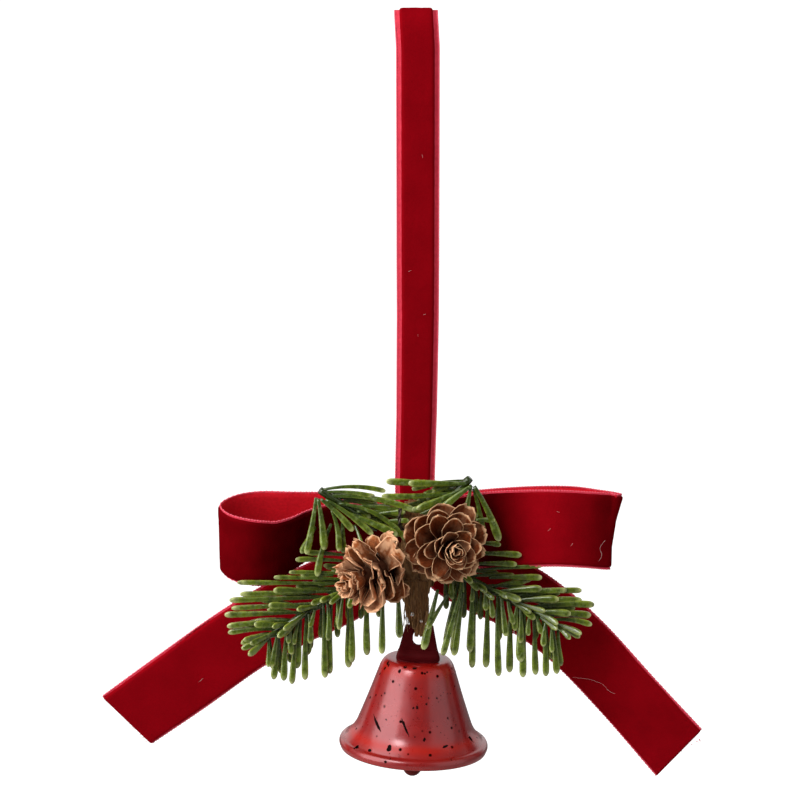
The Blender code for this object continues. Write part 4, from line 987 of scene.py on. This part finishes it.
# The outside from the crown down to the lip, as radius and height.
BELL_OUTLINE = [
    (0.0, 0.05), (4.0, 0.03), (7.4, -0.08), (8.5, -0.7), (9.25, -1.95), (10.2, -4.6), (11.3, -7.9),
    (12.7, -11.9), (14.05, -15.6), (14.75, -17.4), (15.5, -18.7), (16.4, -19.8), (17.15, -20.6),
    (17.55, -21.0), (17.95, -21.1), (18.45, -21.35), (18.75, -21.9), (18.8, -22.6), (18.4, -23.6)]
# Where the paint is thick and orange: height, spread, amount.
WARM_BANDS = ((-1.6, 1.5, 0.7), (-19.2, 1.1, 0.9), (-23.3, 0.5, 0.6))
# The larger marks on the front: angle from the front, height, length, width, slant.
FRONT_MARKS = (
    (-0.78, -14.6, 5.6, 0.80, 0.88), (-0.19, -14.2, 4.8, 0.70, 0.52), (-0.40, -19.2, 1.5, 1.4, 0.0),
    (0.02, -9.4, 1.0, 0.75, 0.3), (0.16, -16.8, 0.95, 0.7, -0.3), (0.22, -8.6, 0.6, 0.55, 0.0),
    (-1.08, -0.7, 1.1, 0.8, 0.9), (-0.98, -1.0, 0.9, 0.7, 0.4), (-1.08, -2.0, 1.0, 0.7, -0.3),
    (-0.40, -0.45, 0.7, 1.1, 0.2), (-0.10, -0.45, 0.6, 1.2, 0.0), (-0.52, -1.5, 0.9, 0.8, 0.3),
    (0.20, -1.5, 0.6, 0.5, 0.3), (0.47, -7.4, 0.6, 0.5, 0.2), (1.15, -18.6, 1.7, 1.0, 0.7),
    (0.52, -18.6, 0.6, 1.9, 0.1), (-0.95, -20.9, 0.8, 1.2, 0.1), (-0.70, -20.6, 0.7, 1.1, 0.0))
SMALL_CHIPS = 190
CHIP_CORNERS = 12
BALL_RINGS, BALL_SIDES = 24, 32
# The lug's front lip, from the sheet down over the crown: y, height over the crown, half width.
LUG_LIP = ((-0.30, 2.6, 4.95), (-0.42, 1.7, 5.25), (-0.75, 0.95, 5.45), (-1.35, 0.50, 5.45),
           (-2.3, 0.28, 4.9), (-3.1, 0.22, 3.6), (-3.5, 0.20, 1.6))


def in_bell(right, away, height):
    """World points from places in the bell's own leaning frame, by height over the crown."""
    crown = CLAPPER_TOP[2] + CROWN_RISE
    return (BELL_PIVOT + np.multiply.outer(right, BELL_RIGHT) + np.multiply.outer(away, BELL_AWAY)
            + np.multiply.outer(crown + height, BELL_UP))


def round_bell(angle, radius, height):
    """World points round the bell's axis."""
    return in_bell(radius * math.cos(angle), CLAPPER_TOP[1] + radius * math.sin(angle), height)


def bell(paint, dark):
    """The turned shell, with its inside, and its chips."""
    outline = curve_through([(r, 0, z) for r, z in BELL_OUTLINE], 0.32)
    slope = directions(outline)
    outer = outline[:, [0, 2]]
    inner = np.stack([np.maximum(outer[:, 0] + slope[:, 2] * SHELL_THICK, 0.0),
                      outer[:, 1] - slope[:, 0] * SHELL_THICK], 1)
    keep = outer[:, 0] > 1.4
    radius, height = np.vstack([outer[keep], inner[keep][::-1]]).T
    warm = sum(amount * np.exp(-((height - middle) / spread) ** 2) for middle, spread, amount in WARM_BANDS)
    skin = Skin("warm")
    rows = [round_bell(2 * math.pi * k / BELL_SIDES, radius, height) for k in range(BELL_SIDES)]
    skin.grid(rows, around=True, along=True, warm=np.tile(np.clip(warm, 0, 1), BELL_SIDES))
    wear(skin.build("bell_shell_painted", [paint]), "bell", "bell_paint", "bell_shell")
    paint_chips(outer, dark)


def paint_chips(outline, dark):
    """Small chips and slanted scratches in the paint, as thin dark patches on the surface."""
    rng = random.Random(77)
    skin = Skin()

    def radius_at(height):
        return np.interp(-height, -outline[:, 1], outline[:, 0])

    def chip(angle, height, long, wide, slant):
        """A patch `long` by `wide`, turned by `slant` from upright."""
        ring = []
        for k in range(CHIP_CORNERS):
            turn = 2 * math.pi * k / CHIP_CORNERS
            jag = 1 + rng.uniform(-0.25, 0.25)
            x = wide / 2 * math.cos(turn) * jag
            y = long / 2 * math.sin(turn) * jag
            ring.append(((x * math.cos(slant) - y * math.sin(slant)) / radius_at(height),
                         x * math.sin(slant) + y * math.cos(slant)))
        # Its edge is under the paint, and its middle just proud of it.
        rows = [[round_bell(angle + a * share, radius_at(height + d * share) + proud, height + d * share)
                 for a, d in ring] for share, proud in ((1.0, -0.05), (0.85, 0.03), (0.1, 0.04))]
        skin.grid(rows, around=True, caps=True)

    for turn, height, long, wide, slant in FRONT_MARKS:
        chip(turn - math.pi / 2, height, long, wide, slant)
    for _ in range(SMALL_CHIPS):
        size = 0.16 + 0.40 * rng.random() ** 4
        chip(rng.uniform(0, 2 * math.pi), -rng.uniform(1.2, 23.0), size * rng.uniform(1, 1.6), size,
             rng.uniform(0, 3))
    wear(skin.build("bell_paint_chips", [dark]), "bell", "bell_paint")


def clapper_ball(paint):
    """A turned drop that runs up its rod."""
    low, high = box_of("clapper_ball")
    radius = (high[0] - low[0]) / 2
    turn = np.linspace(0, 2 * math.pi, BALL_SIDES, endpoint=False)
    rows = []
    for k in range(1, BALL_RINGS):
        angle = math.pi * (0.5 - k / BALL_RINGS)
        r, z = radius * math.cos(angle), radius * math.sin(angle)
        if z > radius * 0.8:
            r = max(r * 0.8, 0.7)
        ring = np.stack([r * np.cos(turn), r * np.sin(turn), np.full(BALL_SIDES, z)], 1)
        rows.append((low + high) / 2 + ring)
    skin = Skin()
    skin.grid(rows, around=True, caps=True)
    wear(skin.build("clapper_ball_painted", [paint], flip=True), "clapper", "clapper_paint", "clapper_ball")


def lug_lip(look):
    """The lug's front lip: the sheet flares forward over the crown and ends in a rounded edge."""
    path = curve_through(LUG_LIP, 0.25)
    across = np.linspace(-1, 1, 17)
    bow = 0.25 * (1 - across**2)
    skin = Skin()
    rows = []
    for (y, height, half), ahead in zip(path, directions(path[:, :2])):
        out = np.array([ahead[1], -ahead[0]])
        out = out if out[0] < 0 or out[1] > 0.5 else -out
        front, rear = (in_bell(across * half, y - bow + out[0] * shift, height + out[1] * shift + across * 0)
                       for shift in (0.12, -0.28))
        rows.append(np.vstack([front, rear[::-1]]))
    skin.grid(rows, around=True, caps=True)
    wear(skin.build("bell_lug_lip", [look]), "bell", "lug_paint")


def dress(node, material):
    """Gives a CAD node a better material."""
    data = NODES[node].data
    data.materials.clear()
    data.materials.append(material)


# ---------------------------------------------------------------- tie, glue, threads

TIE_FLAPS = ((-1.7, 11.4, 1.3, 2.1), (-0.2, 12.0, 1.3, 3.4), (1.5, 10.8, 1.3, 4.2),
             (2.5, 8.6, 0.8, 5.5), (-2.5, 8.2, 0.8, 6.1))         # shift, drop, half width, seed
TIE_FIBRES = 150
# Turns of tape round the knot: shift, half width, how far it stands off the wire, seed.
KNOT_TURNS = ((-1.9, 1.7, 0.25, 1.0), (0.2, 1.9, 0.55, 2.0), (2.1, 1.6, 0.3, 3.0))
KNOT_STEPS = 72
# Its torn ends: shift, depth, half width, how far they reach below the tie's hinge.
TORN_ENDS = ((-2.6, -6.6, 1.5, 2.2), (-0.9, -7.4, 1.6, 3.4), (0.9, -7.0, 1.7, 2.6),
             (2.6, -7.6, 1.5, 3.6), (3.9, -6.6, 1.2, 1.6), (-3.8, -6.8, 1.2, 1.4))
# Beads of glue, by the body they sit on: centre, half size.
GLUE_BEADS = {
    "bow": (((4.6, 4.6, -117.8), (1.1, 0.5, 0.7)), ((6.2, 3.9, -118.4), (0.8, 0.5, 0.5))),
    "tie": (((2.6, -9.4, -146.0), (0.7, 0.4, 0.6)), ((-0.8, -11.9, -147.5), (0.5, 0.35, 0.6)),
            ((1.4, -12.1, -149.2), (0.45, 0.3, 0.45))),
}
WIRE_TAIL = [(-1.6, -9.2, -126.6), (-3.2, -11.2, -126.0), (-4.0, -12.5, -124.4), (-4.0, -12.7, -122.2),
             (-3.8, -12.6, -120.3)]
HAIRS = {
    "hanger": [[(1.5, -3.35, -34.0), (1.7, -3.3, -34.8)], [(-1.8, -0.75, -63.0), (-1.1, -0.7, -62.6)],
               [(1.8, 0.7, -74.0), (2.5, 0.7, -73.8)], [(0.5, 1.3, -79.0), (0.6, 1.35, -79.6)]],
    "bow": [[(45.8, -6.6, -135.2), (46.6, -6.2, -133.6), (46.2, -5.8, -132.0), (47.4, -5.2, -130.2)],
            [(35.2, -5.9, -122.6), (35.9, -5.9, -122.8)], [(33.0, -7.0, -127.4), (33.7, -6.9, -126.7)],
            [(38.8, -7.6, -131.0), (39.2, -7.6, -130.3)]],
    "tail_right": [[(40.6, 5.5, -169.0), (44.6, 5.2, -169.4), (48.2, 5.4, -170.8), (49.8, 5.9, -172.6),
                    (51.9, 6.1, -173.7), (53.7, 5.9, -173.7), (55.2, 5.3, -172.1)]],
    "tail_left": [[(-56.0, 7.9, -171.0), (-54.8, 7.8, -170.0)],
                  [(-62.0, 8.0, -170.0), (-63.4, 8.1, -170.5)]],
}


def crumpled(across, along, seed):
    """Uneven heights across a sheet, at a place along it."""
    return bumpiness(np.stack([across, np.full(len(across), along), across * 0], 1), 1.0, seed)


def tie_strip(skin, path, halves, thick, seed):
    """A crumpled strip of tape, folded along itself."""
    rows = curve_through(path, 0.35)
    wide = np.interp(np.linspace(0, 1, len(rows)), np.linspace(0, 1, len(halves)), halves)
    x = np.linspace(-1, 1, 15)
    grid, shades = [], []
    for i, ahead in enumerate(directions(rows)):
        folds = (0.42 * np.sin(x * 7 + seed) + 0.25 * np.sin(x * 15 + seed * 2 + i * 0.12)) * 0.5
        crumple = folds + 0.35 * crumpled(x * 3, i * 0.12, seed)
        rag = 1 + 0.12 * noise.noise(Vector((i * 0.3, seed, 0)))
        out = unit(np.cross(RIGHT, ahead))
        grid.append(sheet_row(rows[i], RIGHT, out, x * wide[i] * rag, crumple, thick))
        # Painted light: the raised parts of the folds lighter.
        shades.append(there_and_back(0.5 + crumple) * 0.8)
    skin.grid(grid, around=True, caps=True, shade=np.clip(np.array(shades), 0, 1))


def fibre_tie(look):
    """The fibre tie: wrinkled tape through the lug, with ragged ends and loose fibres."""
    rng = random.Random(61)
    skin = Skin("shade")
    low, high = box_of("bell_tie")
    slot_x, y = place_of("bell_swing")[:2]
    knot_x = place_of("tie_swing")[0]
    top, foot = high[2] + 1.0, low[2] + 0.5
    loop = [(knot_x - 0.3, y - 1.0, top), (knot_x, y - 1.7, top - 3), (slot_x - 0.4, y - 1.9, top - 7),
            (slot_x - 0.1, y - 1.7, foot + 3.0), (slot_x, y - 1.1, foot + 0.4), (slot_x, y, foot - 0.1),
            (slot_x, y + 1.1, foot + 0.4), (slot_x, y + 1.7, foot + 3.0), (slot_x - 0.3, y + 1.8, top - 7),
            (knot_x, y + 1.3, top - 3), (knot_x, y + 0.7, top)]
    tie_strip(skin, loop, [3.5, 3.5, 3.1, 2.5, 1.3, 1.1, 1.3, 2.5, 2.9, 3.2, 3.2], 0.45, 1.7)
    # Ragged flaps that hang in front of the lug, each ending in a point.
    for shift, drop, wide, seed in TIE_FLAPS:
        path = [(knot_x + 0.5 + shift * 0.9, y - 2.0, top),
                (knot_x + 0.4 + shift * 0.9, y - 2.3, top - drop * 0.5),
                (slot_x - 0.8 + shift * 0.75, y - 2.1, top - drop)]
        tie_strip(skin, path, [wide, wide * 1.05, wide * 0.8, 0.2], 0.35, seed)
    for _ in range(TIE_FIBRES):
        start = np.array([knot_x + 0.5 + rng.uniform(-3.0, 3.0), y - rng.uniform(1.4, 2.7),
                          top - rng.uniform(0, 9)])
        reach = rng.uniform(1.5, 4.5)
        bend = np.array([rng.uniform(-0.8, 0.6), rng.uniform(-0.7, 0.3), 0.0])
        points = [start + np.array([0, 0, -reach]) * t + bend * t * t for t in np.linspace(0, 1, 6)]
        points = [p for p in points if p[2] > foot - 1.5]
        if len(points) > 2:
            tube(skin, points, np.linspace(0.13, 0.05, len(points)), sides=5, shade=rng.random())
    wear(skin.build("bell_tie_fibre", [look]), "tie", "tie_fibre", "bell_tie")


def knot_wrap(look):
    """Turns of the same tape round the middle of the bow, over the binding wire, and its torn ends."""
    skin = Skin("shade")
    low, high = box_of("binding_wire")
    centre, half = (low + high) / 2, (high - low) / 2
    x = np.linspace(-1, 1, 9)
    for shift, wide, grow, seed in KNOT_TURNS:
        rows, shades = [], []
        for k in range(KNOT_STEPS):
            angle = 2 * math.pi * k / KNOT_STEPS
            c, d = math.cos(angle), math.sin(angle)
            up = max(d, 0.0)          # the wrap is narrower and lower at its top, with painted shade there
            spots = np.stack([x * 2, np.full(len(x), c * 3), np.full(len(x), d * 3)], 1)
            crumple = 0.3 * bumpiness(spots, 1.0, seed)
            middle = np.array([shift * (1 - 0.45 * up), centre[1] + (half[1] + grow) * c,
                               centre[2] + (half[2] + grow) * d - 0.5 * up])
            out = unit([0, c / half[1], d / half[2]])
            rows.append(sheet_row(middle, RIGHT, out, x * wide, crumple, 0.4))
            # Painted light on the crumples, and painted shade towards the top.
            shades.append(np.clip(0.5 + there_and_back(crumple) * 1.5, 0, 1) * (1 - up))
        skin.grid(rows, around=True, along=True, shade=np.array(shades))
    # The torn ends hang behind the cones, down to where the bell's tie starts.
    rng = random.Random(64)
    hinge_z = place_of("tie_swing")[2]
    for shift, deep, wide, drop in TORN_ENDS:
        path = curve_through([(shift * 0.8, deep, hinge_z + 9.5), (shift * 0.9, deep - 0.8, hinge_z + 4.0),
                              (shift, deep - 0.9, hinge_z - drop)], 0.4)
        rows, shades = [], []
        for i, middle in enumerate(path):
            taper = math.sqrt(max(1 - max((i / (len(path) - 1) - 0.6) / 0.42, 0) ** 2, 0.02))
            crumple = 0.45 * crumpled(x * 2, i * 0.2, shift)
            spans = x * wide * taper * rng.uniform(0.94, 1.06)
            rows.append(sheet_row(middle, RIGHT, TO_FRONT, spans, -crumple, 0.3))
            # Painted light on the raised parts of the crumples.
            shades.append(np.clip(0.5 - there_and_back(crumple) * 1.6, 0, 1))
        skin.grid(rows, around=True, caps=True, shade=np.array(shades))
    wear(skin.build("knot_wrap_tape", [look]), "bow", "tie_fibre")


def glue(look):
    """Set hot glue: the two pads, and small beads where it shows."""
    rng = random.Random(66)
    for side in ("left", "right"):
        low, high = box_of("glue_pad_" + side)
        skin = Skin()
        blob(skin, (low + high) / 2, (high - low) / 2, rng, 16)
        if side == "right":
            for place, size in GLUE_BEADS["bow"]:
                blob(skin, place, size, rng, 10)
        wear(skin.build("glue_" + side, [look]), "bow", "hot_glue", "glue_pad_" + side)
    skin = Skin()
    for place, size in GLUE_BEADS["tie"]:
        blob(skin, place, size, rng, 10)
    wear(skin.build("glue_on_tie", [look]), "tie", "hot_glue")


def blob(skin, centre, half, rng, sides):
    """A lumpy flattened bead."""
    seed = rng.uniform(0, 30)
    bands = sides // 2 + 2
    rows = []
    for j in range(1, bands):
        latitude = math.pi * (j / bands - 0.5)
        ring = []
        for k in range(sides):
            angle = 2 * math.pi * k / sides
            way = np.array([math.cos(latitude) * math.cos(angle), math.sin(latitude),
                            math.cos(latitude) * math.sin(angle)])
            swell = 1 + 0.22 * noise.noise(Vector(way * 1.6) + Vector((seed, 0, 0)))
            ring.append(np.array(centre) + way * np.array(half) * swell)
        rows.append(ring)
    skin.grid(rows, around=True, caps=True)


def twisted_wire_end(look):
    """The binding wire's twisted tail, which comes forward over the needles and stands up."""
    skin = Skin()
    path = curve_through(WIRE_TAIL, 0.22)
    along = directions(path)
    side = unit(np.cross(along, [1.0, 0.2, 0.0]))
    other = np.cross(along, side)
    for phase in (0.0, math.pi):
        turn = phase + np.linspace(0, 15, len(path))[:, None]
        tube(skin, path + 0.24 * (np.cos(turn) * side + np.sin(turn) * other), 0.25, sides=8)
    wear(skin.build("binding_wire_tail", [look]), "bow", "binding_wire")


def lint(look):
    """Stray fibres caught on the velvet."""
    for body, hairs in HAIRS.items():
        skin = Skin()
        for path in hairs:
            points = curve_through(path, 0.25)
            crook = 0.10 * np.stack([bumpiness(points, 0.8, k) for k in range(3)], 1)
            tube(skin, points + crook, 0.022, sides=4)
        wear(skin.build("lint_" + body, [look]), body, "hanger_velvet" if body == "hanger" else "bow_velvet")


# ---------------------------------------------------------------- studio

# Soft lights: degrees to the right of the front, degrees up, distance, size in metres, power.
LIGHTS = {
    "softbox_left": (-62.0, 28.0, 0.80, (0.75, 1.32), 9.3),
    "softbox_right": (60.0, 12.0, 0.80, (0.75, 1.08), 1.5),
    "key_front": (-30.0, 38.0, 1.10, (0.34, 0.34), 4.4),
}
LIGHTS_AIM = np.array([0.0, 0.0, -0.14])
FLOOR_Z = -520.0
FLOOR_RINGS = (0.01, 2000.0, 40000.0)
WORLD_FADE = {"From Min": 0.1, "From Max": 0.6, "To Min": 0.14, "To Max": 0.85}      # front to back
CAMERA_LENS = 108.0
CAMERA_RISE = 10.2       # degrees that the camera looks down
CAMERA_DISTANCE = 0.6
CAMERA_TARGET = Vector((-0.0039, 0.0, -0.0954))


def surroundings():
    """A white world for the camera. What lights the object is dim in front and bright behind."""
    world = bpy.data.worlds.new("studio")
    bpy.context.scene.world = world
    world.use_nodes = True
    nodes, links = world.node_tree.nodes, world.node_tree.links
    split = nodes.new("ShaderNodeSeparateXYZ")
    links.new(nodes.new("ShaderNodeTexCoord").outputs["Generated"], split.inputs[0])
    fade = nodes.new("ShaderNodeMapRange")
    for socket, value in WORLD_FADE.items():
        fade.inputs[socket].default_value = value
    links.new(split.outputs["Y"], fade.inputs["Value"])
    mixed = nodes.new("ShaderNodeMix")
    mixed.data_type = "FLOAT"
    links.new(nodes.new("ShaderNodeLightPath").outputs["Is Camera Ray"], mixed.inputs[0])
    links.new(fade.outputs["Result"], mixed.inputs[2])
    mixed.inputs[3].default_value = 1.0
    background = nodes["Background"]
    links.new(mixed.outputs[0], background.inputs["Strength"])
    background.inputs["Color"].default_value = (1, 1, 1, 1)


def floor():
    """A wide floor well below, which looks white to the camera and is pale grey to the object."""
    look = Look("studio_floor", Roughness=0.9)
    seen = look.node("ShaderNodeLightPath").outputs["Is Camera Ray"]
    grey = look.mix(look.patches(3.0, 2.0, 0.2, 0.8), (0.40, 0.40, 0.40), (0.44, 0.44, 0.44))
    look.set(look.shader, {"Base Color": grey, "Emission Color": (1.0, 1.0, 1.0), "Emission Strength": seen,
                           "Specular IOR Level": 0.05})
    turn = np.linspace(0, 2 * math.pi, 64, endpoint=False)
    rows = [np.stack([radius * np.cos(turn), radius * np.sin(turn), np.full(len(turn), FLOOR_Z)], 1)
            for radius in FLOOR_RINGS]
    skin = Skin()
    skin.grid(rows, around=True)
    skin.build("studio_floor", [look.material])


def lights():
    for name, (azimuth, elevation, far, size, power) in LIGHTS.items():
        data = bpy.data.lights.new(name, "AREA")
        data.shape = "RECTANGLE"
        data.size, data.size_y = size
        data.energy = power
        lamp = bpy.data.objects.new(name, data)
        bpy.context.scene.collection.objects.link(lamp)
        around, above = math.radians(azimuth), math.radians(elevation)
        level = np.array([math.sin(around), -math.cos(around), 0.0])
        way = level * math.cos(above) + np.array([0.0, 0.0, math.sin(above)])
        lamp.location = LIGHTS_AIM + way * far
        lamp.rotation_euler = Vector(-way).to_track_quat("-Z", "Y").to_euler()


def photo_camera():
    data = bpy.data.cameras.new("camera")
    data.lens = CAMERA_LENS
    data.clip_start = 0.01
    camera = bpy.data.objects.new("camera", data)
    bpy.context.scene.collection.objects.link(camera)
    rise = math.radians(CAMERA_RISE)
    camera.location = CAMERA_TARGET + CAMERA_DISTANCE * Vector((0, -math.cos(rise), math.sin(rise)))
    camera.rotation_euler = (math.radians(90) - rise, 0, 0)
    bpy.context.scene.camera = camera
    bpy.context.scene.view_settings.view_transform = "Standard"


def main():
    selvedge = woven("ribbon_selvedge", (0.66, 0.020, 0.045), (0.90, 0.10, 0.155), 0.36)
    back = woven("ribbon_woven_back", (0.64, 0.006, 0.015), (0.86, 0.021, 0.041), 0.42)
    hanger_pile = velvet("hanger_velvet_pile", (0.075, 0.0004, 0.0015), (0.38, 0.0025, 0.008))
    bow_pile = velvet("bow_velvet_pile", (0.055, 0.0003, 0.0012), (0.42, 0.0028, 0.009))
    hanger_ribbon([hanger_pile, selvedge, back])
    bow_loops([bow_pile, selvedge, back])
    bow_tails([bow_pile, selvedge, back])
    sprigs()
    cones()
    bell(bell_paint(), metal_paint("chip_black", (0.006, 0.002, 0.002), 0.8, 0.0, 0.0))
    lug = metal_paint("lug_maroon", (0.052, 0.0012, 0.0022), 0.42)
    lug_lip(lug)
    clapper_ball(metal_paint("clapper_red", (0.10, 0.010, 0.008), 0.4))
    tape = fibre_tape()
    fibre_tie(tape)
    knot_wrap(tape)
    glue(clear_glue())
    steel = bare_wire("plain_wire", (0.42, 0.40, 0.38), 0.3)
    florist = bare_wire("florist_wire", (0.10, 0.075, 0.055), 0.5)
    green = bare_wire("green_wire", (0.03, 0.07, 0.02), 0.5)
    stems = ["stem_wire_" + place for place in ("lower_left", "lower_right", "upper_left", "upper_right")]
    for look, nodes in ((lug, ["bell_lug", "crown_rivet"]), (steel, ["clapper_link", "clapper_rod"]),
                        (florist, ["binding_wire"]), (green, stems)):
        for node in nodes:
            dress(node, look)
    twisted_wire_end(florist)
    lint(thread("lint_fibre", (0.75, 0.55, 0.50)))
    surroundings()
    floor()
    lights()
    photo_camera()


main()
